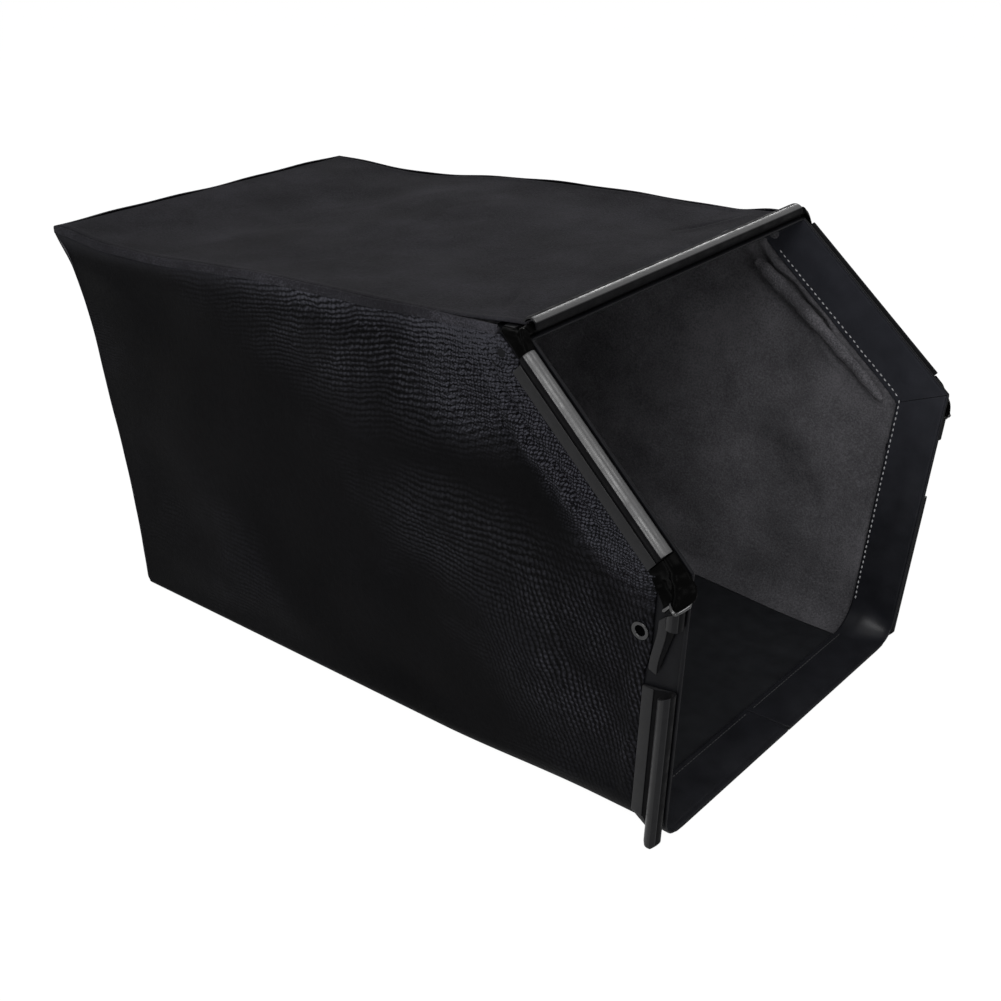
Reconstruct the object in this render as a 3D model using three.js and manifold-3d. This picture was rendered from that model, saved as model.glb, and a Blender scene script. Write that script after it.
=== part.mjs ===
// A grass collection bag for a walk-behind mower, standing on its base with its mouth open.
// Knitted fabric panels hang from a smooth vinyl band that lines a mouth of two planes: a raked upper
// one and a nearly upright lower one. Stiff clip channels are sewn along the band, outside, where they
// snap over the mower's wire. Millimetres: x runs from the rear to the mouth, y to the left, z up.
import * as THREE from 'three';
import { mergeVertices } from 'three/addons/utils/BufferGeometryUtils.js';
import Module from 'manifold-3d';

const wasm = await Module();
wasm.setup();

// Side outline
const overallLength = 712;
const rearOverhang = 80;
const mouthLean = 22;
const mouthRake = 148;
const rearHeight = 343;
const shoulderHeight = 248;
const mouthTopHeight = 378;

// Widths between the outer faces of the mouth band, and of the rear wall
const rearWidth = 366;
const mouthTopWidth = 381;
const shoulderWidth = 400;
const mouthFootWidth = 376;

// How the cloth hangs
const rearBow = 8;
const rearPinch = 8;
const topLift = 6;
const topDip = 9;
const topSag = 7;
const rearSag = 6;
const cornerTrim = 10;
const footRadiusRear = 9;
const footRadiusMouth = 20;
const footTurn = 1.5;

// Sheets and seams
const fabricThickness = 1.6;
const vinylThickness = 1.4;
const clearance = 0.3;
const weltWidth = 4.6;
const weltHeight = 8;
const weltStop = 30.8;
const bandWidth = 43;
const fabricEdge = 31.2;
const hemThickness = 3;
const hemWidth = 6;
const frontNotch = 3;

// Clip channel
const hookDiameter = 13;
const wallThickness = 1.8;
const ribThickness = 2.8;
const ribStart = 20.5;
const ribEnd = 30.5;
const tipAngle = 24;

// Where the channels run, measured from the upper end of each mouth edge
const slopeChannelStart = 8;
const clipHookEnd = 45;
const clipLegEnd = 95;
const sideChannelStart = 101;
const sideLegStart = 110;
const sideLegEnd = 232;
const sideChannelGap = 0.8;
const topChannelInset = 10.5;

// Boots, eyelets and inner hems
const bootThickness = 1.8;
const bootBulge = 6;
const capBulge = 9;
const capFoot = 24;
const capSlant = 13;
const capWidth = 15;
const capOverhang = 1.5;
const bootReach = 30;
const eyeletDrop = 64.7;
const eyeletBack = 37;
const eyeletBore = 4.3;
const eyeletNeck = 5;
const eyeletFlange = 8;
const eyeletRim = 1;
const bindingWidth = 10;
const bindingDepth = 6;
const bindingStart = 4;
const bindingStop = 32;
const bindingSpread = 12;

// Points of the side outline, as x and z
const rearTop = new THREE.Vector2(-overallLength / 2, rearHeight);
const rearFoot = new THREE.Vector2(-overallLength / 2 + rearOverhang, 0);
const shoulder = new THREE.Vector2(overallLength / 2, shoulderHeight);
const mouthFoot = new THREE.Vector2(overallLength / 2 - mouthLean, 0);
const mouthTop = new THREE.Vector2(overallLength / 2 - mouthRake, mouthTopHeight);

const mix = THREE.MathUtils.lerp;
const smooth = THREE.MathUtils.smoothstep;
const bell = (value, centre, spread) => Math.exp(-(((value - centre) / spread) ** 2));

// The mouth edge as x for a height, straight from foot to shoulder and from shoulder to top.
function mouthX(z) {
  if (z < shoulder.y) return mix(mouthFoot.x, shoulder.x, z / shoulder.y);
  return mix(shoulder.x, mouthTop.x, (z - shoulder.y) / (mouthTop.y - shoulder.y));
}

// Half the width between the band's outer faces at a height of the mouth edge.
function mouthHalfWidth(z) {
  if (z < shoulder.y) return mix(mouthFootWidth, shoulderWidth, z / shoulder.y) / 2;
  return mix(shoulderWidth, mouthTopWidth, (z - shoulder.y) / (mouthTop.y - shoulder.y)) / 2;
}

// The rear edge as x for a height, leaning back and bowed forward half way up.
function rearX(z) {
  const rise = z / rearHeight;
  return mix(rearFoot.x, rearTop.x, rise) + rearBow * 4 * rise * (1 - rise);
}

// Half the bag's width at a place on its side, pinched towards the rear edge.
function halfWidth(x, z) {
  const along = (x - rearTop.x) / (mouthX(z) - rearTop.x);
  const rise = THREE.MathUtils.clamp(z / rearHeight, 0, 1);
  const pinch = rearPinch * 4 * rise * (1 - rise) * Math.max(0, 1 - along) ** 2;
  return mix(rearWidth / 2, mouthHalfWidth(z), along) - pinch;
}

// The plane of the mouth's top edge, carried back to the rear.
const topPlane = (x) => mix(rearTop.y, mouthTop.y, (x - rearTop.x) / (mouthTop.x - rearTop.x));

// The height of the top seam: it dips behind the rear corner and lifts over the channel.
const dipCentre = rearTop.x + 0.17 * overallLength;
const liftStart = rearTop.x + 0.15 * overallLength;
const liftEnd = rearTop.x + 0.47 * overallLength;
const dipAt = (x) => topDip * bell(x, dipCentre, 0.1 * overallLength);
const seamRise = (x) => topLift * smooth(x, liftStart, liftEnd) - dipAt(x);
const weltHeightAt = (x) => topPlane(x) + seamRise(x) - weltHeight / 4;
const panelRise = weltHeight / 4;

// The radius that the cloth turns under on at the foot of the side.
const footRadius = (x) => mix(footRadiusRear, footRadiusMouth, (x - rearFoot.x) / (mouthFoot.x - rearFoot.x));

// Turns an outline edge into the direction along it, the direction back from it and its length.
function edgeFrame(from, to) {
  const length = from.distanceTo(to);
  const along = to.clone().sub(from).divideScalar(length);
  const back = new THREE.Vector2(along.y, -along.x);
  return { from, along, back, length };
}
const slopeEdge = edgeFrame(mouthTop, shoulder);
const sideEdge = edgeFrame(shoulder, mouthFoot);

// A place on the side given along an edge and back from it, as x and z.
function placeOn(edge, distance, back) {
  return edge.from.clone().addScaledVector(edge.along, distance).addScaledVector(edge.back, back);
}

// Where two lines meet, each given by a point and a direction.
function meet(point, direction, other, otherDirection) {
  const gap = other.clone().sub(point);
  const cross = direction.x * otherDirection.y - direction.y * otherDirection.x;
  const travel = (gap.x * otherDirection.y - gap.y * otherDirection.x) / cross;
  return point.clone().addScaledVector(direction, travel);
}

// The point of an edge's parallel, at a distance back, where it meets the other edge's parallel.
function innerCorner(back) {
  const slopeLine = placeOn(slopeEdge, 0, back);
  const sideLine = placeOn(sideEdge, 0, back);
  return meet(slopeLine, slopeEdge.along, sideLine, sideEdge.along);
}

// A closed geometry from its points and triangles, with its faces turned to point outwards.
function closedGeometry(points, triangles) {
  const position = new Float32Array(points.length * 3);
  points.forEach((point, index) => point.toArray(position, index * 3));
  let volume = 0;
  for (const [a, b, c] of triangles) {
    volume += points[a].dot(points[b].clone().cross(points[c]));
  }
  const indices = triangles.flatMap(([a, b, c]) => (volume > 0 ? [a, b, c] : [a, c, b]));
  const geometry = new THREE.BufferGeometry();
  geometry.setAttribute('position', new THREE.BufferAttribute(position, 3));
  geometry.setIndex(indices);
  geometry.computeVertexNormals();
  return geometry;
}

// A sheet of cloth: a middle surface of two parameters, from 0 to 1, thickened both ways.
function sheet(surface, columns, rows, thickness) {
  const nudge = 1e-3;
  const thicknessAt = typeof thickness === 'function' ? thickness : () => thickness;
  const faces = [[], []];
  for (let row = 0; row <= rows; row += 1) {
    for (let column = 0; column <= columns; column += 1) {
      const u = column / columns;
      const v = row / rows;
      const alongU = surface(Math.min(1, u + nudge), v).sub(surface(Math.max(0, u - nudge), v));
      const alongV = surface(u, Math.min(1, v + nudge)).sub(surface(u, Math.max(0, v - nudge)));
      const normal = alongU.cross(alongV).normalize();
      const middle = surface(u, v);
      const half = thicknessAt(u, v) / 2;
      faces[0].push(middle.clone().addScaledVector(normal, half));
      faces[1].push(middle.clone().addScaledVector(normal, -half));
    }
  }
  const points = faces.flat();
  const offset = faces[0].length;
  const at = (column, row) => row * (columns + 1) + column;
  const triangles = [];
  for (let row = 0; row < rows; row += 1) {
    for (let column = 0; column < columns; column += 1) {
      const [a, b] = [at(column, row), at(column + 1, row)];
      const [c, d] = [at(column + 1, row + 1), at(column, row + 1)];
      triangles.push([a, b, c], [a, c, d]);
      triangles.push([a + offset, c + offset, b + offset], [a + offset, d + offset, c + offset]);
    }
  }
  const wall = (a, b) => triangles.push([a, a + offset, b + offset], [a, b + offset, b]);
  for (let column = 0; column < columns; column += 1) {
    wall(at(column, 0), at(column + 1, 0));
    wall(at(column + 1, rows), at(column, rows));
  }
  for (let row = 0; row < rows; row += 1) {
    wall(at(0, row + 1), at(0, row));
    wall(at(columns, row), at(columns, row + 1));
  }
  return closedGeometry(points, triangles);
}

// A cord along a path: the section is carried on and cut by each joint's mitre plane.
function sweep(section, path, across) {
  const direction = (from, to) => path[to].clone().sub(path[from]).normalize();
  const last = path.length - 1;
  const start = direction(0, 1);
  const side = across.clone().addScaledVector(start, -across.dot(start)).normalize();
  const up = start.clone().cross(side);
  const rings = [section.map(([a, b]) => path[0].clone().addScaledVector(side, a).addScaledVector(up, b))];
  for (let index = 1; index <= last; index += 1) {
    const arriving = direction(index - 1, index);
    const leaving = index < last ? direction(index, index + 1) : arriving;
    const normal = arriving.clone().add(leaving).normalize();
    rings.push(rings[index - 1].map((point) => {
      const travel = path[index].clone().sub(point).dot(normal) / arriving.dot(normal);
      return point.clone().addScaledVector(arriving, travel);
    }));
  }
  const count = section.length;
  const triangles = [];
  for (let ring = 0; ring < last; ring += 1) {
    for (let k = 0; k < count; k += 1) {
      const [a, b] = [ring * count + k, ring * count + ((k + 1) % count)];
      triangles.push([a, b, b + count], [a, b + count, a + count]);
    }
  }
  for (let k = 1; k < count - 1; k += 1) {
    triangles.push([0, k + 1, k], [last * count, last * count + k, last * count + k + 1]);
  }
  return closedGeometry(rings.flat(), triangles);
}

// An oval section for a cord, with its two diameters.
function oval(width, height, corners = 10) {
  return Array.from({ length: corners }, (_, k) => {
    const turn = (2 * Math.PI * (k + 0.5)) / corners;
    return [(width / 2) * Math.cos(turn), (height / 2) * Math.sin(turn)];
  });
}

// Solids for joining and cutting
function solidOf(geometry) {
  const bare = geometry.clone();
  bare.deleteAttribute('normal');
  bare.deleteAttribute('uv');
  const merged = mergeVertices(bare, 1e-4);
  const vertProperties = merged.attributes.position.array;
  const triVerts = new Uint32Array(merged.index.array);
  return new wasm.Manifold(new wasm.Mesh({ numProp: 3, vertProperties, triVerts }));
}

function geometryOf(solid) {
  const mesh = solid.getMesh();
  const geometry = new THREE.BufferGeometry();
  geometry.setAttribute('position', new THREE.BufferAttribute(new Float32Array(mesh.vertProperties), 3));
  geometry.setIndex(new THREE.BufferAttribute(new Uint32Array(mesh.triVerts), 1));
  geometry.computeVertexNormals();
  return geometry;
}

const cut = (geometry, tool) => geometryOf(solidOf(geometry).subtract(solidOf(tool)));
const common = (geometry, tool) => geometryOf(solidOf(geometry).intersect(solidOf(tool)));

// Materials, by finish
const fabric = new THREE.MeshStandardMaterial({ color: 0x17181b, roughness: 0.92, metalness: 0 });
const felt = new THREE.MeshStandardMaterial({ color: 0x202124, roughness: 0.95, metalness: 0 });
const vinyl = new THREE.MeshStandardMaterial({ color: 0x14171d, roughness: 0.38, metalness: 0 });
const gloss = new THREE.MeshStandardMaterial({ color: 0x1c1d21, roughness: 0.22, metalness: 0 });
const metal = new THREE.MeshStandardMaterial({ color: 0x8c8f94, roughness: 0.3, metalness: 1 });

const bag = new THREE.Group();

function add(name, geometry, material) {
  const mesh = new THREE.Mesh(geometry, material);
  mesh.name = name;
  bag.add(mesh);
  return mesh;
}

const sides = [
  { name: 'right', sign: -1 },
  { name: 'left', sign: 1 },
];

// A point at a place on one side, moved outwards by an offset.
const onSide = (sign, place, offset) =>
  new THREE.Vector3(place.x, sign * (halfWidth(place.x, place.y) + offset), place.y);

// Cloth panels

// The side panel stops short of the seams and of the channels' ribs, and turns under at its foot.
function sidePanel(sign) {
  const middle = fabricThickness / 2;
  const edgeTop = (x) => weltHeightAt(x) - weltHeight / 2 - 2 * clearance;
  const footTop = (x) => footRadius(x) + middle;
  const topStart = new THREE.Vector2(mouthTop.x, edgeTop(mouthTop.x));
  const topRun = new THREE.Vector2(mouthTop.x - rearTop.x, mouthTop.y - rearTop.y).normalize();
  const level = (z) => new THREE.Vector2(0, z);
  const forwards = new THREE.Vector2(1, 0);
  const slopeLine = placeOn(slopeEdge, 0, fabricEdge);
  const corner = innerCorner(fabricEdge);
  const front = [
    meet(corner, sideEdge.along, level(footTop(mouthFoot.x - fabricEdge)), forwards),
    corner,
    meet(slopeLine, slopeEdge.along, level(shoulder.y), forwards),
    meet(slopeLine, slopeEdge.along, topStart, topRun),
  ];
  const rear = [footTop(rearFoot.x), corner.y, shoulder.y, edgeTop(rearTop.x)].map(
    (z) => new THREE.Vector2(rearX(z) + middle + clearance, z),
  );
  const footRows = 6;
  const stretches = [7, 1, 6];
  const rows = footRows + stretches.reduce((sum, count) => sum + count, 0);
  const upright = (along, row) => {
    let stretch = 0;
    let rest = row;
    while (stretch < stretches.length - 1 && rest > stretches[stretch]) {
      rest -= stretches[stretch];
      stretch += 1;
    }
    const share = rest / stretches[stretch];
    const near = rear[stretch].clone().lerp(rear[stretch + 1], share);
    near.x = rearX(near.y) + middle + clearance;
    const place = near.lerp(front[stretch].clone().lerp(front[stretch + 1], share), along);
    if (stretch === 2) {
      const chord = rear[3].clone().lerp(front[3], along);
      place.y += share ** 2 * (edgeTop(chord.x) - chord.y);
    }
    return place;
  };
  const surface = (along, v) => {
    const row = v * rows;
    const place = upright(along, Math.max(0, row - footRows));
    const turn = Math.max(0, 1 - row / footRows) * footTurn;
    const radius = footRadius(place.x);
    const point = onSide(sign, place, middle);
    point.y -= sign * radius * (1 - Math.cos(turn));
    point.z -= radius * Math.sin(turn);
    point.x += (1 - along) * (rearX(point.z) - rearX(place.y));
    return point;
  };
  return sheet(surface, 14, rows, fabricThickness);
}

// The top panel hangs between the side seams and sinks towards its middle.
function topPanel() {
  const rearInset = weltWidth / 2 + clearance;
  const start = rearTop.x + rearInset;
  const end = mouthTop.x - hookDiameter - 2 * clearance;
  const surface = (along, across) => {
    const x = mix(start, end, along);
    const trim = cornerTrim * smooth(x, end - 2 * fabricEdge, end);
    const half = halfWidth(x, topPlane(x)) + fabricThickness / 2 - rearInset - trim;
    const share = 2 * across - 1;
    const sink = topSag * Math.sin(Math.PI * along) * (1 - share ** 2);
    return new THREE.Vector3(x, share * half, weltHeightAt(x) + panelRise - sink);
  };
  return sheet(surface, 14, 8, fabricThickness);
}

// The rear panel closes the side panels' ends, with its lower corners turned as they are.
function rearPanel() {
  const foot = fabricThickness / 2;
  const head = weltHeightAt(rearTop.x) - weltHeight / 2 - clearance;
  const surface = (across, rise) => {
    const z = mix(foot, head, rise ** 1.3);
    const drop = Math.max(0, 1 - (z - fabricThickness / 2) / footRadiusRear);
    const tuck = footRadiusRear * (1 - Math.sqrt(Math.max(0, 1 - drop ** 2)));
    const half = halfWidth(rearX(z), z) + fabricThickness - tuck;
    const bulge = rearSag * Math.sin(Math.PI * across) * Math.sin(Math.PI * rise);
    return new THREE.Vector3(rearX(z) + bulge, (2 * across - 1) * half, z);
  };
  return sheet(surface, 8, 12, fabricThickness);
}

// The base lies flat between the turned feet of the sides.
function bottomPanel() {
  const start = rearX(0) + fabricThickness + clearance;
  const end = mouthFoot.x - fabricEdge;
  const surface = (along, across) => {
    const x = mix(start, end, along);
    const radius = footRadius(x);
    const footEnd = halfWidth(x, radius) + fabricThickness / 2 - radius * (1 - Math.cos(footTurn));
    return new THREE.Vector3(x, (2 * across - 1) * (footEnd - 2 * clearance), fabricThickness / 2);
  };
  return sheet(surface, 8, 4, fabricThickness);
}

// The turned seam along the top: one run from mouth to mouth round the rear corners.
function topWelt() {
  const stations = 16;
  const front = mouthTop.x - weltStop;
  const run = (sign) => Array.from({ length: stations + 1 }, (_, k) => {
    const x = mix(front, rearTop.x, k / stations);
    const y = sign * (halfWidth(x, topPlane(x)) + fabricThickness / 2);
    return new THREE.Vector3(x, y, weltHeightAt(x));
  });
  const path = [...run(-1), ...run(1).reverse()];
  return sweep(oval(weltWidth, weltHeight, 8), path, new THREE.Vector3(0, 1, 0));
}

// Mouth band

// The channels stop short of the shoulder by as much as their ribs need to pass each other there.
const ribSide = ribEnd + 1;
const hookSide = hookDiameter + 0.5;
const cornerReach = ribSide * Math.tan(slopeEdge.along.angleTo(sideEdge.along) / 2);
const slopeChannelEnd = slopeEdge.length - cornerReach - 4;

const bandOffset = -(1.5 * clearance + vinylThickness / 2);
const bandCorner = innerCorner(bandWidth);

// One raked side of the band, mitred at the shoulder.
function slopeBand(sign) {
  const run = new THREE.Vector2(mouthTop.x - rearTop.x, mouthTop.y - rearTop.y).normalize();
  const level = mouthTop.clone().setY(mouthTop.y - 2 * clearance);
  const head = (back) => meet(placeOn(slopeEdge, 0, back), slopeEdge.along, level, run);
  const short = slopeEdge.along.clone().multiplyScalar(-clearance);
  const ends = [shoulder, bandCorner].map((place) => place.clone().add(short));
  const surface = (u, v) => {
    const upper = head(0).lerp(head(bandWidth), u);
    const lower = ends[0].clone().lerp(ends[1], u);
    return onSide(sign, upper.lerp(lower, v), bandOffset);
  };
  return sheet(surface, 6, 16, vinylThickness);
}

// The band's strip under the top channel.
function topBand() {
  const surface = (u, v) => {
    const x = mouthTop.x - u * bandWidth;
    const half = halfWidth(x, topPlane(x)) - vinylThickness - 3 * clearance;
    return new THREE.Vector3(x, (2 * v - 1) * half, topPlane(x) + bandOffset);
  };
  return sheet(surface, 4, 8, vinylThickness);
}

// Half of the lower band: down the side, round the foot and along the base to the middle notch.
function lowerBand(sign) {
  const innerBack = mouthX(bandCorner.y) - bandCorner.x;
  const inset = fabricThickness / 2 - bandOffset;
  const sideShare = 0.5;
  const turnShare = 0.3;
  const backAt = (u) => innerBack * (0.35 * u + 0.65 * u ** 2);
  const level = sideShare + turnShare;
  const hemAt = (u, v) => {
    const front = 1 - smooth(backAt(u), hemWidth / 2, hemWidth);
    return (hemThickness - vinylThickness) * front * smooth(v, level - 0.05, level);
  };
  const surface = (u, v) => {
    const back = backAt(u);
    const radius = footRadius(mouthFoot.x - back) - inset;
    const centreZ = radius + inset + fabricThickness / 2;
    const centreY = halfWidth(mouthX(centreZ) - back, centreZ) + bandOffset - radius;
    if (v < sideShare) {
      const head = mix(shoulder.y, bandCorner.y, back / innerBack) - clearance;
      const z = mix(head, centreZ, v / sideShare);
      return onSide(sign, new THREE.Vector2(mouthX(z) - back, z), bandOffset);
    }
    const turn = Math.min(1, (v - sideShare) / turnShare) * (Math.PI / 2);
    const along = Math.max(0, (v - level) / (1 - level));
    const z = centreZ - radius * Math.sin(turn);
    const gap = mix(frontNotch, clearance, smooth(back, 0, hemWidth)) / 2;
    const y = mix(centreY + radius * Math.cos(turn), gap, along);
    return new THREE.Vector3(mouthX(z) - back, sign * y, z - hemAt(u, v) / 2);
  };
  return sheet(surface, 8, 20, (u, v) => vinylThickness + hemAt(u, v));
}

// Clip channels

// The channel's section, with u back from the mouth's rim and v out from the band.
function channelSection() {
  const radius = hookDiameter / 2;
  const tip = THREE.MathUtils.degToRad(tipAngle);
  const section = new THREE.Shape();
  section.moveTo(ribEnd, 0);
  section.lineTo(ribEnd, ribThickness);
  section.lineTo(ribStart, ribThickness);
  section.lineTo(ribStart, wallThickness);
  section.absarc(radius, radius, radius - wallThickness, -Math.PI / 2, tip - 2 * Math.PI, true);
  section.absarc(radius, radius, radius, tip - 2 * Math.PI, -Math.PI / 2, false);
  section.closePath();
  return section;
}

// A channel cut to its side outline, which gives u and the distance from the edge's upper end.
function channel(frame, outline) {
  const distances = outline.map(([, distance]) => distance * frame.facing);
  const [low, high] = [Math.min(...distances), Math.max(...distances)];
  const depth = high - low + 2;
  const bar = new THREE.ExtrudeGeometry(channelSection(), { depth, bevelEnabled: false, curveSegments: 12 });
  bar.translate(0, 0, low - 1);
  const corners = outline.map(([back, distance]) => new THREE.Vector2(back, distance * frame.facing));
  const shape = new THREE.Shape(corners);
  const tool = new THREE.ExtrudeGeometry(shape, { depth: hookDiameter + 2, bevelEnabled: false });
  tool.rotateX(Math.PI / 2);
  tool.translate(0, hookDiameter + 1, 0);
  return common(bar, tool).applyMatrix4(frame.matrix);
}

// Where a channel sits on one side: back, out and along, from the edge's upper end.
function sideFrame(sign, edge) {
  const upper = onSide(sign, placeOn(edge, 0, 0), 0);
  const lower = onSide(sign, placeOn(edge, edge.length, 0), 0);
  const along = lower.clone().sub(upper).normalize();
  const inner = onSide(sign, placeOn(edge, edge.length / 2, ribEnd), 0);
  const back = inner.sub(upper.clone().lerp(lower, 0.5));
  back.addScaledVector(along, -back.dot(along)).normalize();
  const out = along.clone().cross(back).normalize();
  if (out.y * sign < 0) out.negate();
  const third = back.clone().cross(out);
  const facing = Math.sign(third.dot(along));
  const matrix = new THREE.Matrix4().makeBasis(back, out, third).setPosition(upper);
  return { matrix, facing, back, out, along, upper };
}

// The frame of the top edge, with distances measured from the middle towards the left.
function topFrame() {
  const back = new THREE.Vector3(rearTop.x - mouthTop.x, 0, rearTop.y - mouthTop.y).normalize();
  const third = new THREE.Vector3(0, 1, 0);
  const out = third.clone().cross(back);
  const origin = new THREE.Vector3(mouthTop.x, 0, mouthTop.y);
  return { matrix: new THREE.Matrix4().makeBasis(back, out, third).setPosition(origin), facing: 1 };
}

const slopeOutline = [
  [-1, slopeChannelStart], [ribSide, slopeChannelStart],
  [ribSide, slopeChannelEnd], [-1, slopeChannelEnd],
];
const clipStart = capFoot + 2.5 * clearance;
const clipHead = clipStart + (capSlant * (capOverhang - 1)) / (capOverhang + capWidth);
const clipOutline = [
  [-1, clipHead], [capWidth, clipStart + capSlant],
  [ribStart + 4, clipStart + capSlant + 6], [ribEnd - 3, clipLegEnd - 6],
  [ribEnd - 5, clipLegEnd], [ribStart - 1, clipLegEnd],
  [hookSide, clipHookEnd + 5], [hookSide - 1, clipHookEnd], [-1, clipHookEnd],
];
const sideChannelEnd = sideEdge.length - sideChannelGap;
const sideOutline = [
  [-1, sideChannelStart], [hookSide, sideLegStart - 1], [ribSide, sideLegStart], [ribSide, sideLegEnd - 3],
  [ribEnd - 3, sideLegEnd], [hookSide + 1, sideLegEnd], [hookSide, sideChannelEnd - 5],
  [hookSide - 4, sideChannelEnd], [4, sideChannelEnd], [-1, sideChannelEnd - 5],
];
const topHalf = mouthTopWidth / 2 - topChannelInset;
const topOutline = [[-1, -topHalf], [ribSide, -topHalf], [ribSide, topHalf], [-1, topHalf]];

// Boots: soft vinyl gussets where the channels stop at the mouth's corners.

const bootLift = (depth, bulge = bootBulge) =>
  clearance + bootThickness / 2 + bulge * bell(depth, hookDiameter / 2, hookDiameter / 2.6);

// The shoulder's boot caps the corner from the slope channel's end to the clip, where it hangs aslant.
function shoulderBoot(sign) {
  const end = slopeChannelEnd + 2 * clearance;
  const headWidth = ribEnd - 2;
  const head = (depth) => placeOn(slopeEdge, end, mix(1, headWidth, depth));
  const foot = (depth) => placeOn(sideEdge, capFoot + capSlant * depth, mix(-capOverhang, capWidth, depth));
  const surface = (depth, around) => {
    const [first, last] = [head(depth), foot(depth)];
    const turn = meet(first, slopeEdge.along, last, sideEdge.along);
    const control = turn.lerp(first.clone().lerp(last, 0.5), depth);
    const place = first.lerp(control, around).lerp(control.clone().lerp(last, around), around);
    const back = mix(mix(1, -capOverhang, around), mix(headWidth, capWidth, around), depth);
    return onSide(sign, place, bootLift(back, mix(bootBulge, capBulge, around)));
  };
  return sheet(surface, 8, 8, bootThickness);
}

// The top corner's boot folds over the edge from the top channel's end to the slope channel's.
function cornerBoot(sign) {
  const climb = (mouthTop.y - rearTop.y) / (mouthTop.x - rearTop.x);
  const rake = Math.abs(slopeEdge.along.y) - Math.abs(slopeEdge.along.x) * climb;
  const surface = (depth, around) => {
    const back = mix(1.5, bootReach, depth);
    const x = mouthTop.x - back;
    const lift = bootLift(back);
    const half = halfWidth(x, topPlane(x));
    const end = onSide(sign, placeOn(slopeEdge, slopeChannelStart - 2 * clearance, back * rake), lift);
    const fold = new THREE.CubicBezierCurve3(
      new THREE.Vector3(x, sign * (half - topChannelInset + 1), topPlane(x) + lift),
      new THREE.Vector3(x, sign * (half + lift + 6 * clearance), topPlane(x) + lift + clearance),
      new THREE.Vector3(
        mix(x, end.x, 0.3), sign * (half + lift + 3 * clearance), topPlane(x) + lift + 5 * clearance,
      ),
      end,
    );
    return fold.getPoint(around);
  };
  return sheet(surface, 7, 8, bootThickness);
}

// Eyelets and inner hems

const eyeletPlace = placeOn(sideEdge, eyeletDrop, eyeletBack);

// The frame of an eyelet: its axis stands out from the side.
function eyeletMatrix(sign) {
  const { out } = sideFrame(sign, sideEdge);
  const turn = new THREE.Quaternion().setFromUnitVectors(new THREE.Vector3(0, 1, 0), out);
  return new THREE.Matrix4().compose(onSide(sign, eyeletPlace, 0), turn, new THREE.Vector3(1, 1, 1));
}

// The hole that the eyelet's neck passes through, in the fabric and the band.
function eyeletHole(sign) {
  const radius = eyeletNeck + clearance;
  const hole = new THREE.CylinderGeometry(radius, radius, 5 * hemThickness, 16);
  return hole.applyMatrix4(eyeletMatrix(sign));
}

function eyelet(sign) {
  const outer = fabricThickness + clearance + eyeletRim;
  const inner = -(2 * clearance + vinylThickness + eyeletRim);
  const profile = [
    [eyeletBore, inner], [eyeletFlange, inner], [eyeletFlange, inner + eyeletRim],
    [eyeletNeck, inner + eyeletRim], [eyeletNeck, outer - eyeletRim],
    [eyeletFlange, outer - eyeletRim], [eyeletFlange, outer], [eyeletBore, outer],
    [eyeletBore, inner],
  ].map(([radius, height]) => new THREE.Vector2(radius, height));
  return new THREE.LatheGeometry(profile, 20).applyMatrix4(eyeletMatrix(sign));
}

// The rolled hem of the side fabric behind the raked band, inside.
function slopeBinding(sign) {
  const depth = -(bindingDepth / 2 + 1.5 * clearance);
  const nearBand = bandWidth + bindingWidth / 2 + 1.5 * clearance;
  const stations = 12;
  const path = Array.from({ length: stations + 1 }, (_, k) => {
    const share = k / stations;
    const distance = mix(bindingStart, slopeEdge.length - bindingStop, share);
    return onSide(sign, placeOn(slopeEdge, distance, nearBand + bindingSpread * (1 - share) ** 2), depth);
  });
  const { back } = sideFrame(sign, slopeEdge);
  return sweep(oval(bindingWidth, bindingDepth, 10), path, back);
}

for (const { name, sign } of sides) {
  const slope = sideFrame(sign, slopeEdge);
  const upright = sideFrame(sign, sideEdge);
  add(`side_panel_${name}`, cut(sidePanel(sign), eyeletHole(sign)), fabric);
  add(`slope_band_${name}`, slopeBand(sign), vinyl);
  add(`lower_band_${name}`, cut(lowerBand(sign), eyeletHole(sign)), vinyl);
  add(`slope_channel_${name}`, channel(slope, slopeOutline), gloss);
  add(`side_clip_${name}`, channel(upright, clipOutline), gloss);
  add(`side_channel_${name}`, channel(upright, sideOutline), gloss);
  add(`shoulder_boot_${name}`, shoulderBoot(sign), vinyl);
  add(`corner_boot_${name}`, cornerBoot(sign), vinyl);
  add(`eyelet_${name}`, eyelet(sign), metal);
  add(`slope_hem_${name}`, slopeBinding(sign), fabric);
}
add('top_panel', topPanel(), felt);
add('rear_panel', rearPanel(), fabric);
add('bottom_panel', bottomPanel(), vinyl);
add('top_welt', topWelt(), fabric);
add('top_band', topBand(), vinyl);
add('top_channel', channel(topFrame(), topOutline), gloss);

// The origin is under the middle of the whole bag, on the ground.
const reach = new THREE.Box3().setFromObject(bag);
bag.position.set(-(reach.min.x + reach.max.x) / 2, 0, -reach.min.z);

export default bag;
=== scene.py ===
"""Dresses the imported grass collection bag: knitted sides, a felted top, a vinyl mouth band with its stitches,
extruded clip channels, corner boots and eyelets. Sizes are in millimetres up to the point where a mesh is made.
x runs from the rear to the mouth, y to the left and z up, as in the solids."""
import math

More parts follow.
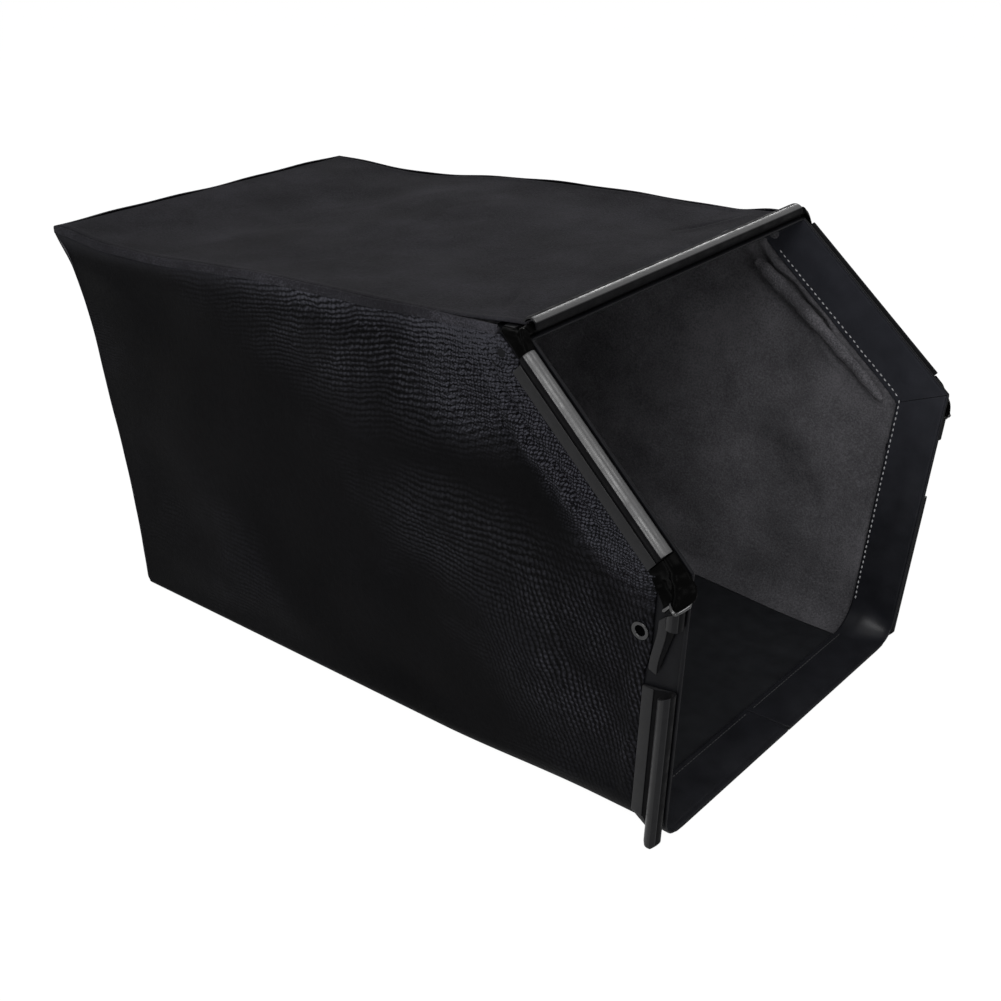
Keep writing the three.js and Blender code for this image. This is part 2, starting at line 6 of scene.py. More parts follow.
import bpy
import numpy as np
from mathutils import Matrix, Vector


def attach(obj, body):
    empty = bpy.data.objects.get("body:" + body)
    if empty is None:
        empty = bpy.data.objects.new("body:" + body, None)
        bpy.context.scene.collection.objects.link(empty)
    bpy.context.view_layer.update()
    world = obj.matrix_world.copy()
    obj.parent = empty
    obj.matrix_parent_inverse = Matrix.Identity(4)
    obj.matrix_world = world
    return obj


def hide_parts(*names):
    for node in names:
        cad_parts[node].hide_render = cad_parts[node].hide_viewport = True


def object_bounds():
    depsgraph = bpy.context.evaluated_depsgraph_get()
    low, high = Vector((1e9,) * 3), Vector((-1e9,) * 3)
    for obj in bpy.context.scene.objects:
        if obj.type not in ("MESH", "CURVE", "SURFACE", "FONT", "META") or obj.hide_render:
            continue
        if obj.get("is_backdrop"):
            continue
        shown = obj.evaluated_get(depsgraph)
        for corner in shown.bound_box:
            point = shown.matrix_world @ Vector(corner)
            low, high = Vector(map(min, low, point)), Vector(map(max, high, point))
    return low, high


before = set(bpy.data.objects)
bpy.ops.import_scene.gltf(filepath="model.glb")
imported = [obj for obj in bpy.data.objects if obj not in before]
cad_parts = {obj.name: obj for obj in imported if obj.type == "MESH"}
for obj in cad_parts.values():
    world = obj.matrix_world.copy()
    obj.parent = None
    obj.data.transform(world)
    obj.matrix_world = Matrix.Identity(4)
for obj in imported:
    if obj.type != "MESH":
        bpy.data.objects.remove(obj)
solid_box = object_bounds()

METRE = 0.001
CENTRE_SHIFT = 1.082

# Outline of the side, and the widths, as the solids have them
REAR_TOP = np.array([-356.0, 343.0])
REAR_FOOT = np.array([-276.0, 0.0])
SHOULDER = np.array([356.0, 248.0])
MOUTH_FOOT = np.array([338.5, 0.0])
MOUTH_TOP = np.array([208.0, 378.0])
REAR_HALF, TOP_HALF, SHOULDER_HALF, FOOT_HALF = 183.0, 190.5, 200.0, 188.0

FABRIC = 1.6
VINYL = 1.4
BAND_WIDTH = 43.0
FABRIC_EDGE = 31.2
BAND_OFFSET = -1.15
HOOK = 13.0
WALL = 1.8
RIB_THICKNESS = 2.8
RIB_START, RIB_END = 20.5, 30.5
TIP_ANGLE = 24.0
HOOK_BACK = 74  # the section's point where the hook's shiny outside begins
WELT_HEIGHT = 8.0


def smooth(value, low, high):
    """A soft step from 0 at low to 1 at high."""
    share = np.clip((value - low) / (high - low), 0.0, 1.0)
    return share * share * (3.0 - 2.0 * share)


def bell(value, centre, spread):
    """A bump of height 1 at the centre that falls away over the spread."""
    return np.exp(-(((value - centre) / spread) ** 2))


def mix(a, b, share):
    """The value at a share of the way from a to b."""
    return a + (b - a) * share


def stack(*parts):
    """Points from their coordinates, which are arrays or numbers."""
    return np.stack(np.broadcast_arrays(*parts), axis=-1)


def unit(vectors):
    """Vectors brought to the length of one."""
    return vectors / np.linalg.norm(vectors, axis=-1, keepdims=True)


def grid(rows, columns, low=0.0):
    """Two parameters on a grid: one runs along each row from 0 to 1, the other down the rows from low to 1."""
    return np.meshgrid(np.linspace(0, 1, columns), np.linspace(low, 1, rows))


def up_the_mouth(z, foot, shoulder, top):
    """A measure of the mouth for a height: it runs straight up to the shoulder, and straight again above it."""
    lower = mix(foot, shoulder, z / SHOULDER[1])
    upper = mix(shoulder, top, (z - SHOULDER[1]) / (MOUTH_TOP[1] - SHOULDER[1]))
    return np.where(z < SHOULDER[1], lower, upper)


def mouth_x(z):
    """The mouth's edge as x for a height."""
    return up_the_mouth(z, MOUTH_FOOT[0], SHOULDER[0], MOUTH_TOP[0])


def rear_x(z):
    """The rear edge as x for a height: it leans back, bows forward half way up and flares out to its top corner."""
    rise = z / REAR_TOP[1]
    flare = 9.0 * smooth(z, 180.0, 285.0) * (1.0 - smooth(z, 312.0, 346.0))
    return mix(REAR_FOOT[0], REAR_TOP[0], rise) + 32.0 * rise * (1.0 - rise) + flare


def half_width(x, z):
    """Half the bag's width at a place on its side: the mouth's blended to the rear's, pinched at the rear."""
    along = (x - REAR_TOP[0]) / (mouth_x(z) - REAR_TOP[0])
    rise = np.clip(z / REAR_TOP[1], 0.0, 1.0)
    pinch = 32.0 * rise * (1.0 - rise) * np.maximum(0.0, 1.0 - along) ** 2
    return mix(REAR_HALF, up_the_mouth(z, FOOT_HALF, SHOULDER_HALF, TOP_HALF), along) - pinch


def top_plane(x):
    """The height of the mouth's top edge, carried back to the rear."""
    return mix(REAR_TOP[1], MOUTH_TOP[1], (x - REAR_TOP[0]) / (MOUTH_TOP[0] - REAR_TOP[0]))


def seam_rise(x, side):
    """How far the top seam lies over that plane: a dip behind the rear corner, deeper on the left, then a lift."""
    share = (side + 1.0) / 2.0
    sag = 4.0 * share * smooth(x, 30.0, 140.0) * (1.0 - smooth(x, 140.0, 176.0))
    lift = mix(3.0, 1.5, share) * smooth(x, -249.2, -21.4) - sag
    return lift - mix(3.5, 7.5, share) * bell(x, -235.0, 80.0) + 6.0 * (1.0 - share) * bell(x, REAR_TOP[0], 45.0)


def welt_height_at(x, side):
    """The height of the top seam's middle, for a side that runs from -1 on the right to 1 on the left."""
    return top_plane(x) + seam_rise(x, side) - 2.0


def foot_radius(x):
    """The radius that the side cloth turns under on."""
    even = mix(5.0, 20.0, (x - REAR_FOOT[0]) / (MOUTH_FOOT[0] - REAR_FOOT[0]))
    return even + 12.0 * smooth(x, 110.0, 270.0) * (1.0 - smooth(x, 308.0, 336.0))


class Edge:
    """An edge of the mouth seen from the side: from its upper end along to its lower one, and back from it."""

    def __init__(self, upper, lower):
        self.upper = upper
        self.length = float(np.hypot(*(lower - upper)))
        self.along = (lower - upper) / self.length
        self.back = np.array([self.along[1], -self.along[0]])

    def place(self, distance, back):
        """x and z at a distance along the edge and a distance back from it."""
        distance, back = np.broadcast_arrays(np.asarray(distance, float), np.asarray(back, float))
        return self.upper + distance[..., None] * self.along + back[..., None] * self.back

    def inverse(self, x, z):
        """The distances along and back of a place given by x and z."""
        away = stack(x - self.upper[0], z - self.upper[1])
        return away @ self.along, away @ self.back


SLOPE = Edge(MOUTH_TOP, SHOULDER)
SIDE = Edge(SHOULDER, MOUTH_FOOT)


def meet(point, direction, other, other_direction):
    """Where two lines of the side's plane cross."""
    gap = np.asarray(other) - point
    cross = direction[0] * other_direction[1] - direction[1] * other_direction[0]
    travel = (gap[..., 0] * other_direction[1] - gap[..., 1] * other_direction[0]) / cross
    return point + direction * travel[..., None]


def inner_corner(back):
    """Where the two edges' parallels at a distance back cross."""
    return meet(SLOPE.place(0, back), SLOPE.along, SIDE.place(0, back), SIDE.along)


def on_side(sign, x, z, offset):
    """Points on one side of the bag, moved outwards by an offset."""
    return stack(x, sign * (half_width(x, z) + offset), z)


def waves(a, b, seed, scale, count=5):
    """A soft uneven field of two coordinates: a few sines in seeded directions, about 1 high."""
    draw = np.random.default_rng(seed)
    total = np.zeros(np.broadcast(a, b).shape)
    for _ in range(count):
        angle, phase, stretch = draw.uniform(0, math.pi), draw.uniform(0, 2 * math.pi), draw.uniform(0.7, 1.5)
        total += np.sin(2 * math.pi * (a * math.cos(angle) + b * math.sin(angle)) * stretch / scale + phase)
    return total / count ** 0.5 * 0.7


# Meshes

def faces_of(rows, columns, start=0, wrap_rows=False, wrap_columns=False, flip=False):
    """The quads of a grid of points stored row by row, joined round where it wraps."""
    row = np.arange(rows if wrap_rows else rows - 1)[:, None]
    column = np.arange(columns if wrap_columns else columns - 1)[None, :]
    near, far = (column + 0 * row), ((column + 1) % columns + 0 * row)
    low, high = (row + 0 * column) * columns, ((row + 1) % rows + 0 * column) * columns
    quads = np.stack([low + near, low + far, high + far, high + near], axis=-1).reshape(-1, 4) + start
    return quads[:, ::-1] if flip else quads


def border_of(rows, columns):
    """The indices of a grid's border, in order round it."""
    index = np.arange(rows * columns).reshape(rows, columns)
    return np.concatenate([index[0, :-1], index[:-1, -1], index[-1, :0:-1], index[:0:-1, 0]])


def make_piece(name, points, faces, material, replaces=(), uv=None, lining=None, inner=None, sharp=None,
               caps=(), gloss=None, polished=()):
    """Puts points and quads into a closed mesh that faces outwards, and lets it ride on the bag."""
    points = np.asarray(points, float).reshape(-1, 3)
    faces = np.asarray(faces)
    a, b, c, d = (points[faces[:, k]] for k in range(4))
    volume = np.einsum("ij,ij->i", a, np.cross(b, c)).sum() + np.einsum("ij,ij->i", a, np.cross(c, d)).sum()
    if volume < 0:
        faces = faces[:, ::-1]
        caps = [cap[::-1] for cap in caps]
    shifted = (points + [CENTRE_SHIFT, 0, 0]) * METRE
    mesh = bpy.data.meshes.new(name)
    mesh.from_pydata(shifted.tolist(), [], faces.tolist() + [list(map(int, cap)) for cap in caps])
    if uv is not None:
        loops = np.empty(len(mesh.loops), np.int32)
        mesh.loops.foreach_get("vertex_index", loops)
        layer = mesh.uv_layers.new(name="cut")
        layer.data.foreach_set("uv", np.asarray(uv, np.float32).reshape(-1, 2)[loops].ravel())
    mesh.materials.append(material)
    if lining is not None:
        mesh.materials.append(lining)
        marks = np.zeros(len(mesh.polygons), np.int32)
        marks[: len(faces)] = np.isin(faces, inner).all(axis=1)
        if gloss is not None:
            mesh.materials.append(gloss)
            marks[: len(faces)][np.isin(faces, polished).all(axis=1)] = 2
        mesh.polygons.foreach_set("material_index", marks)
    mesh.polygons.foreach_set("use_smooth", np.ones(len(mesh.polygons), bool))
    if sharp is not None:
        mesh.set_sharp_from_angle(angle=math.radians(sharp))
    mesh.update()
    piece = bpy.data.objects.new(name, mesh)
    bpy.context.scene.collection.objects.link(piece)
    if replaces:
        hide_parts(*replaces)
    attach(piece, "root")
    return piece


def shell(middle, thickness, uv=None, roundness=0.6):
    """A grid of middle points thickened both ways, with a rounded rim: its points, quads, uv and inner indices."""
    rows, columns = middle.shape[:2]
    across, down = np.gradient(middle, axis=1), np.gradient(middle, axis=0)
    normal = unit(np.cross(across, down))
    half = np.broadcast_to(np.asarray(thickness, float) / 2, middle.shape[:2])[..., None]
    away = np.zeros_like(middle)
    for side, step in ((np.s_[0, :], -down), (np.s_[-1, :], down), (np.s_[:, 0], -across), (np.s_[:, -1], across)):
        away[side] += unit(step[side])
    border = border_of(rows, columns)
    outward = unit(away.reshape(-1, 3)[border])
    rim = middle.reshape(-1, 3)[border] + outward * half.reshape(-1, 1)[border] * roundness
    front, back = (middle + normal * half).reshape(-1, 3), (middle - normal * half).reshape(-1, 3)
    count, edge = rows * columns, len(border)
    following = np.roll(border, -1)
    middle_ring = 2 * count + np.arange(edge)
    next_ring = np.roll(middle_ring, -1)
    quads = np.concatenate([
        faces_of(rows, columns), faces_of(rows, columns, start=count, flip=True),
        np.stack([following, border, middle_ring, next_ring], axis=-1),
        np.stack([next_ring, middle_ring, border + count, following + count], axis=-1),
    ])
    points = np.concatenate([front, back, rim])
    cut = None if uv is None else np.concatenate([uv.reshape(-1, 2), uv.reshape(-1, 2), uv.reshape(-1, 2)[border]])
    return points, quads, cut, (np.arange(count), count + np.arange(count))


def tube_faces(rows, count):
    """The quads round a tube of closed rings, and the caps at its two ends."""
    caps = [np.arange(count)[::-1], (rows - 1) * count + np.arange(count)]
    return faces_of(rows, count, wrap_columns=True), caps


def arc(centre, radius, start, end, count):
    """Points on an arc, with its angles in degrees."""
    turn = np.radians(np.linspace(start, end, count))
    return stack(centre[0] + radius * np.cos(turn), centre[1] + radius * np.sin(turn))


# Materials

class Field:
    """A value that varies over a surface: arithmetic on it adds Math nodes to its tree."""

    def __init__(self, tree, socket):
        self.tree = tree
        self.socket = socket

    def __add__(self, other):
        return self.tree.maths("ADD", self, other)

    def __sub__(self, other):
        return self.tree.maths("SUBTRACT", self, other)

    def __rsub__(self, other):
        return self.tree.maths("SUBTRACT", other, self)

    def __mul__(self, other):
        return self.tree.maths("MULTIPLY", self, other)

    __radd__, __rmul__ = __add__, __mul__


class Tree:
    """A node tree that is written as formulas."""

    def __init__(self, owner):
        owner.use_nodes = True
        self.nodes = owner.node_tree.nodes
        self.links = owner.node_tree.links

    def put(self, value, socket):
        """Links a field to an input, or writes a number or a colour into it."""
        if isinstance(value, Field):
            self.links.new(value.socket, socket)
        else:
            socket.default_value = value

    def field(self, kind, output, **values):
        """One output of a new node, whose settings and inputs are given by their names."""
        made = self.nodes.new(kind)
        for name, value in values.items():
            if hasattr(made, name):
                setattr(made, name, value)
            else:
                self.put(value, made.inputs[name.replace("_", " ")])
        return Field(self, made.outputs[output])

    def maths(self, operation, *values):
        """A Math node over fields or numbers."""
        made = self.nodes.new("ShaderNodeMath")
        made.operation = operation
        for value, socket in zip(values, made.inputs):
            self.put(value, socket)
        return Field(self, made.outputs[0])


class Finish(Tree):
    """A procedural material: a Principled shader and the fields that vary it."""

    def __init__(self, name, colour, roughness, specular=0.3):
        self.material = bpy.data.materials.new(name)
        super().__init__(self.material)
        self.shader = self.nodes["Principled BSDF"]
        self.dress(Base_Color=(*colour, 1), Roughness=roughness, Specular_IOR_Level=specular)

    def dress(self, **values):
        """Sets the shader's inputs by name, and gives the material."""
        for name, value in values.items():
            self.put(value, self.shader.inputs[name.replace("_", " ")])
        return self.material

    def coordinates(self, source="Object", scale=(1, 1, 1), turn=(0, 0, 0)):
        """A mapped coordinate: Object, in metres, or UV, which holds the flat cloth's metres."""
        plain = self.field("ShaderNodeTexCoord", source)
        return self.field("ShaderNodeMapping", "Vector", Vector=plain, Scale=scale, Rotation=turn)

    def parts(self, vector):
        """A coordinate's X, Y and Z."""
        made = self.field("ShaderNodeSeparateXYZ", "X", Vector=vector)
        return [Field(self, socket) for socket in made.socket.node.outputs]

    def noise(self, vector, scale, detail=4.0, roughness=0.55):
        return self.field("ShaderNodeTexNoise", "Fac", Vector=vector, Scale=scale, Detail=detail, Roughness=roughness)

    def stripe(self, value, pitch):
        """Ridges over a value, one to each pitch: the size of its sine."""
        return self.maths("ABSOLUTE", self.maths("SINE", value * (math.pi / pitch)))

    def soft_step(self, value, low, high):
        """A soft step of a value from 0 at low to 1 at high."""
        return self.field("ShaderNodeMapRange", "Result", interpolation_type="SMOOTHSTEP", Value=value, From_Min=low,
                          From_Max=high)

    def patch(self, vector, centre, reach):
        """1 in the middle of an oval patch of the flat cloth, fading to 0 at its reach."""
        local = self.field("ShaderNodeMapping", "Vector", Vector=vector, Scale=(1 / reach[0], 1 / reach[1], 0),
                           Location=(-centre[0] / reach[0], -centre[1] / reach[1], 0))
        length = self.field("ShaderNodeVectorMath", "Value", operation="LENGTH", Vector=local)
        return 1.0 - self.soft_step(length, 0.35, 1.0)

    def ramp(self, value, *stops):
        """Colours along a value: each stop is a place and a colour or a grey."""
        made = self.nodes.new("ShaderNodeValToRGB")
        elements = made.color_ramp.elements
        while len(elements) < len(stops):
            elements.new(0.5)
        for element, (place, colour) in zip(elements, stops):
            element.position = place
            element.color = (*colour, 1) if hasattr(colour, "__len__") else (colour, colour, colour, 1)
        self.put(value, made.inputs["Fac"])
        return Field(self, made.outputs["Color"])

    def bump(self, height, strength, distance, **below):
        return self.field("ShaderNodeBump", "Normal", Height=height, Strength=strength, Distance=distance, **below)


def shade(colour, share):
    """A colour made darker or paler by a share."""
    return tuple(part * share for part in colour)


def knit_finish(name, colour, light, specular, course=0.0043, wale=0.0047, strength=0.8):
    """Knitted mesh cloth: raised courses and wales with pores between. High up the courses show, low by the mouth
    the wales, beside the raked channel both, as pale pebbles; elsewhere they sink into a soft uneven nap. Where
    the weave shows pale it is painted light: the patches and the pebbles are painted highlights where the knit
    catches the lamp, and a band just below the seam is painted paler as the seam's lit roll."""
    finish = Finish(name, colour, 0.62, specular)
    place = finish.coordinates("UV")
    flat_x, flat_y, _ = finish.parts(place)
    noise, step, patch, stripe = finish.noise, finish.soft_step, finish.patch, finish.stripe
    larger = lambda first, second: finish.maths("MAXIMUM", first, second)
    stray = noise(place, 11.0, 3.0) * 0.024 + noise(place, 230.0, 4.0, 0.75) * 0.0062
    climb = step(flat_y, 0.16, 0.34) * (flat_x * 0.20)
    courses = stripe(flat_y + stray - climb, course)
    cross = stripe(flat_x + stray * 1.4, wale)
    wales = stripe(flat_y * 0.38 + (flat_x + stray), wale)
    pebble = stripe(flat_y + stray, 0.0026) * stripe(flat_x + stray * 1.5, 0.0029)
    patchy = step(noise(place, 7.0, 3.0, 0.5), 0.50, 0.68)
    # Patches where the knit shows pale: painted light, where the weave catches the lamp
    upper = patch(place, (0.06, 0.345), (0.25, 0.10))
    lower = patch(place, (0.27, 0.13), (0.13, 0.13))
    middle = patch(place, (0.15, 0.20), (0.14, 0.07))
    by_corner = patch(place, (0.16, 0.335), (0.10, 0.07)) * 0.6
    # The band beside the raked channel, whose pebbles are painted pale as painted glints on the ridges
    back = flat_x * -0.66 + flat_y * -0.751 + noise(place, 30.0, 2.0) * 0.020
    beside = step(back, -0.394, -0.382) * (1.0 - step(back, -0.362, -0.334)) * step(flat_y, 0.19, 0.25)
    beside = larger(beside, by_corner)
    in_rows = larger(larger(upper, middle * 0.8), patchy * 0.35) * (1.0 - lower)
    # Random patches where the painted light on the weave is weaker
    unevenness = step(noise(place, 26.0, 3.0, 0.6), 0.30, 0.62) * 0.5 + 0.5
    rows = courses * (cross * 0.4 + 0.6) * in_rows * unevenness
    knit = rows + wales * (courses * 0.45 + 0.55) * unevenness * lower + pebble * (beside * 1.3)
    shown = (in_rows + lower) * unevenness + beside
    soft = noise(place, 150.0, 4.0, 0.65) * 0.5 + noise(place, 620.0, 4.0, 0.7) * 0.4
    broad = noise(place, 5.5, 4.0, 0.6) - 0.5
    below_seam = flat_x * 0.062 + 0.367 - flat_y
    # The shown patches and the band beside the channel are painted paler: painted light
    amount = (knit - shown * 0.40) * 1.5 + soft * 0.5 + broad * 0.7 + (beside * 0.5 + shown * 0.08)
    # Just below the seam the cloth is painted paler, fading downwards: painted light from the seam's lit roll
    amount = amount + (1.0 - step(below_seam, 0.004, 0.026)) * 0.5
    tone = finish.ramp(amount * 0.5, (0.0, shade(colour, 0.35)), (0.14, colour), (0.42, light),
                       (0.8, shade(light, 4.2)))
    return finish.dress(Base_Color=tone, Normal=finish.bump(knit + soft, strength, 0.0012))


def felt_finish(name, colour, light, specular, grain=520.0):
    """Felted cloth: a fine uneven nap with broad soft blotches, faint creases painted slightly darker as shade, and
    sparse brighter fibres.
    """
    finish = Finish(name, colour, 0.95, specular)
    place = finish.coordinates()
    nap = finish.noise(place, grain, 5.0, 0.7)
    blotch = finish.noise(place, 13.0, 5.0, 0.6)
    fibre = finish.noise(finish.coordinates(scale=(1.0, 3.0, 1.0), turn=(0, 0, 0.6)), 260.0, 2.0, 0.5)
    crease = finish.soft_step(finish.maths("ABSOLUTE", finish.noise(place, 5.0, 2.0, 0.4) - 0.5), 0.0, 0.03)
    # Along the crease lines the tone is pulled down: painted shade in the creases
    value = nap * 0.55 + blotch * 0.45 + (crease - 1.0) * 0.025
    tone = finish.ramp(value, (0.36, shade(colour, 0.5)), (0.5, colour), (0.62, shade(light, 1.25)))
    return finish.dress(Base_Color=tone, Normal=finish.bump(nap + fibre * 0.5 + crease * 0.3, 0.8, 0.0010))


def vinyl_finish(name, colour, roughness, specular, grain=0.25, rise=0.0):
    """Smooth vinyl sheet: a low gloss over a very fine leathery grain, dulled in patches by handling, and painted
    paler towards the top by its rise, as painted light."""
    finish = Finish(name, colour, roughness, specular)
    place = finish.coordinates()
    wear = finish.ramp(finish.noise(place, 16.0, 4.0), (0.3, roughness * 0.8), (0.7, roughness * 1.3))
    # The rise makes the sheet paler higher up: painted light
    value = finish.noise(place, 60.0, 3.0) + finish.soft_step(finish.parts(place)[2], 0.02, 0.3) * rise
    tone = finish.ramp(value * 0.5, (0.15, shade(colour, 0.8)), (0.35, shade(colour, 1.2)), (1.0, shade(colour, 3.0)))
    leather = finish.field("ShaderNodeTexVoronoi", "Distance", Vector=place, Scale=900.0)
    fine = finish.bump(leather, grain, 0.00015)
    uneven = finish.bump(finish.noise(place, 38.0, 2.0), 0.25, 0.0015, Normal=fine)
    return finish.dress(Base_Color=tone, Roughness=wear, Normal=uneven)


def plastic_finish(name, colour, roughness, specular):
    """Extruded plastic: glossy, with faint draw lines along its length and small scuffs."""
    finish = Finish(name, colour, roughness, specular)
    place = finish.coordinates()
    scuff = finish.ramp(finish.noise(place, 75.0, 5.0, 0.65), (0.35, roughness * 0.85), (0.72, roughness * 1.5))
    tone = finish.ramp(finish.noise(place, 210.0, 4.0), (0.35, colour), (0.8, shade(colour, 1.5)))
    lines = finish.bump(finish.noise(place, 320.0, 3.0), 0.12, 0.0002)
    return finish.dress(Base_Color=tone, Roughness=scuff, Normal=lines)


def thread_finish(name, colour):
    """Sewing thread: two twisted plies, slightly fuzzy."""
    finish = Finish(name, colour, 0.7)
    twist = finish.noise(finish.coordinates(), 2600.0, 2.0)
    tone = finish.ramp(twist, (0.3, shade(colour, 0.6)), (0.7, colour))
    return finish.dress(Base_Color=tone, Normal=finish.bump(twist, 0.5, 0.0002))


side_knit = knit_finish("side_knit", (0.0021, 0.0021, 0.0025), (0.0105, 0.0106, 0.0128), 0.025)
lining_felt = felt_finish("lining_felt", (0.056, 0.055, 0.060), (0.072, 0.070, 0.076), 0.08, grain=560.0)
top_felt = felt_finish("top_felt", (0.0150, 0.0147, 0.0172), (0.0190, 0.0187, 0.0220), 0.06)
seam_cloth = felt_finish("seam_cloth", (0.0150, 0.0147, 0.0175), (0.034, 0.0335, 0.040), 0.08, grain=700.0)
hem_cloth = felt_finish("hem_cloth", (0.042, 0.041, 0.045), (0.074, 0.072, 0.078), 0.06, grain=700.0)
base_vinyl = vinyl_finish("base_vinyl", (0.010, 0.0105, 0.012), 0.5, 0.10)
band_vinyl = vinyl_finish("band_vinyl", (0.0050, 0.0051, 0.0060), 0.42, 0.05)
# The band's inner face: the band's vinyl painted paler as its lit inside, and paler still towards the top
band_inner_lit = vinyl_finish("band_inner_lit", (0.0080, 0.0083, 0.0103), 0.36, 0.18, rise=1.0)
boot_vinyl = vinyl_finish("boot_vinyl", (0.0010, 0.0010, 0.0010), 0.28, 0.01, grain=0.1)
lip_vinyl = vinyl_finish("lip_vinyl", (0.004, 0.004, 0.0045), 0.14, 0.6, grain=0.05)
channel_plastic = plastic_finish("channel_plastic", (0.0040, 0.0040, 0.0046), 0.36, 0.19)
hook_plastic = plastic_finish("hook_plastic", (0.0040, 0.0040, 0.0046), 0.36, 0.75)
clip_plastic = plastic_finish("clip_plastic", (0.0040, 0.0040, 0.0046), 0.36, 0.11)
# A darker, duller copy of the channel plastic for its groove and the hook's far side: painted shade
groove_shade_plastic = plastic_finish("groove_shade_plastic", (0.0022, 0.0022, 0.0025), 0.5, 0.03)
eyelet_lacquer = plastic_finish("eyelet_lacquer", (0.003, 0.003, 0.0035), 0.16, 0.5)
# Near-black and fully dull: painted shade, for the seam's stitch groove and the eyelet's bore
painted_shade = plastic_finish("painted_shade", (0.0008, 0.0008, 0.0009), 0.9, 0.0)
pale_thread = thread_finish("pale_thread", (0.34, 0.34, 0.35))
dull_thread = thread_finish("dull_thread", (0.035, 0.035, 0.037))


# The camera, first

FOCAL = 54.0
TURN, LIFT = math.radians(39.47), math.radians(27.0)
AIM = Vector((23.0 + CENTRE_SHIFT, 0.0, 117.0)) * METRE
toward_camera = Vector((math.sin(TURN) * math.cos(LIFT), -math.cos(TURN) * math.cos(LIFT), math.sin(LIFT)))
camera = bpy.data.objects.new("camera", bpy.data.cameras.new("camera"))
camera.data.lens = FOCAL
camera.data.sensor_width = 36.0
camera.location = AIM + toward_camera * 1.397
camera.rotation_euler = toward_camera.to_track_quat("Z", "Y").to_euler()
bpy.context.scene.collection.objects.link(camera)
bpy.context.scene.camera = camera


# Cloth

def side_place(sign, along, row):
    """x and z on the side panel for a share from rear to mouth, and a row counted up from the foot's turn."""
    middle = FABRIC / 2
    knots = np.array([0.0, 7.0, 8.0, 12.4, 13.0, 14.0])
    corner = inner_corner(FABRIC_EDGE)
    line = SLOPE.place(0, FABRIC_EDGE)
    edge_top = lambda x: welt_height_at(x, sign) - WELT_HEIGHT / 2 + 1.2
    foot_top = lambda x: foot_radius(x) + middle
    level, forwards = (lambda z: np.array([0.0, z])), np.array([1.0, 0.0])
    front = np.array([
        meet(corner, SIDE.along, level(foot_top(MOUTH_FOOT[0] - FABRIC_EDGE)), forwards),
        corner,
        meet(line, SLOPE.along, level(SHOULDER[1]), forwards),
        SLOPE.place(8.0, FABRIC_EDGE),
        SLOPE.place(6.0, 21.5),
        np.array([MOUTH_TOP[0] - 27.5, edge_top(MOUTH_TOP[0] - 27.5)]),
    ])
    rear_top = edge_top(REAR_TOP[0])
    shoulder_up = mix(SHOULDER[1], rear_top, np.array([0.0, 0.73, 0.83, 1.0]))
    rear_z = np.array([foot_top(REAR_FOOT[0]), corner[1], *shoulder_up])
    near_z = np.interp(row, knots, rear_z)
    near_x = rear_x(near_z) + middle + 0.3
    x = mix(near_x, np.interp(row, knots, front[:, 0]), along)
    z = mix(near_z, np.interp(row, knots, front[:, 1]), along)
    chord_x = mix(rear_x(rear_z[-1]) + middle + 0.3, front[-1, 0], along)
    chord_z = mix(rear_z[-1], front[-1, 1], along)
    share = np.clip((row - 8.0) / 6.0, 0.0, 1.0)
    z = z + (foot_top(x) - mix(rear_z[0], front[0, 1], along)) * np.clip(1.0 - row / 7.0, 0.0, 1.0)
    low_s, _ = SIDE.inverse(x, z)
    x = x + 3.6 * smooth(low_s, 2.0, 25.0) * (1 - smooth(low_s, 82.0, 99.0)) * smooth(along, 0.85, 1.0)
    return x, z + share ** 2 * (edge_top(chord_x) - chord_z)


def side_drape(sign, x, z):
    """How far the side cloth stands out: sewn folds beside the raked channel, and soft hollows elsewhere."""
    s, u = SLOPE.inverse(x, z)
    low_s, low_u = SIDE.inverse(x, z)
    fade = smooth(s, -25.0, 12.0) * (1.0 - smooth(s, 95.0, 175.0))
    wander = 2.5 * np.sin(s / 17.0 + sign) + 1.5 * np.sin(s / 7.3)
    folds = (2.6 * bell(u, 40.0 + 0.4 * wander, 4.2) - 2.2 * bell(u, 48.0 + wander, 2.8)
             + 2.4 * bell(u, 56.0 + wander, 5.0) - 1.4 * bell(u, 65.5 + wander, 4.0)) * fade
    pucker = 0.5 * np.sin(s / 2.3 + 0.35 * u) * bell(u, 41.0, 7.0) * fade
    corner = 1.4 * np.sin(np.hypot(s + 28.0, u - 42.0) / 4.6) * bell(s, -14.0, 24.0) * bell(u, 52.0, 34.0)
    lower = (0.9 * bell(low_u, 40.0, 5.0) - 0.6 * bell(low_u, 48.0, 4.0)) * smooth(low_s, 70.0, 110.0)
    inside = smooth(u, 33.0, 60.0) * smooth(low_u, 33.0, 60.0) * smooth(x - rear_x(z), 0.0, 90.0)
    broad = 3.4 * waves(x, z * 1.3, 11 + int(sign), 260.0) + 1.1 * waves(x, z, 31 + int(sign), 95.0)
    seam_below = top_plane(x) + seam_rise(x, sign) - z
    tuck = 1.0 * bell(seam_below, 5.0, 4.5) - 1.6 * bell(seam_below, 20.0, 9.0)
    inside *= smooth(seam_below, 12.0, 40.0) * smooth(z, 14.0, 50.0)
    return folds + pucker + corner + lower + inside * broad + tuck


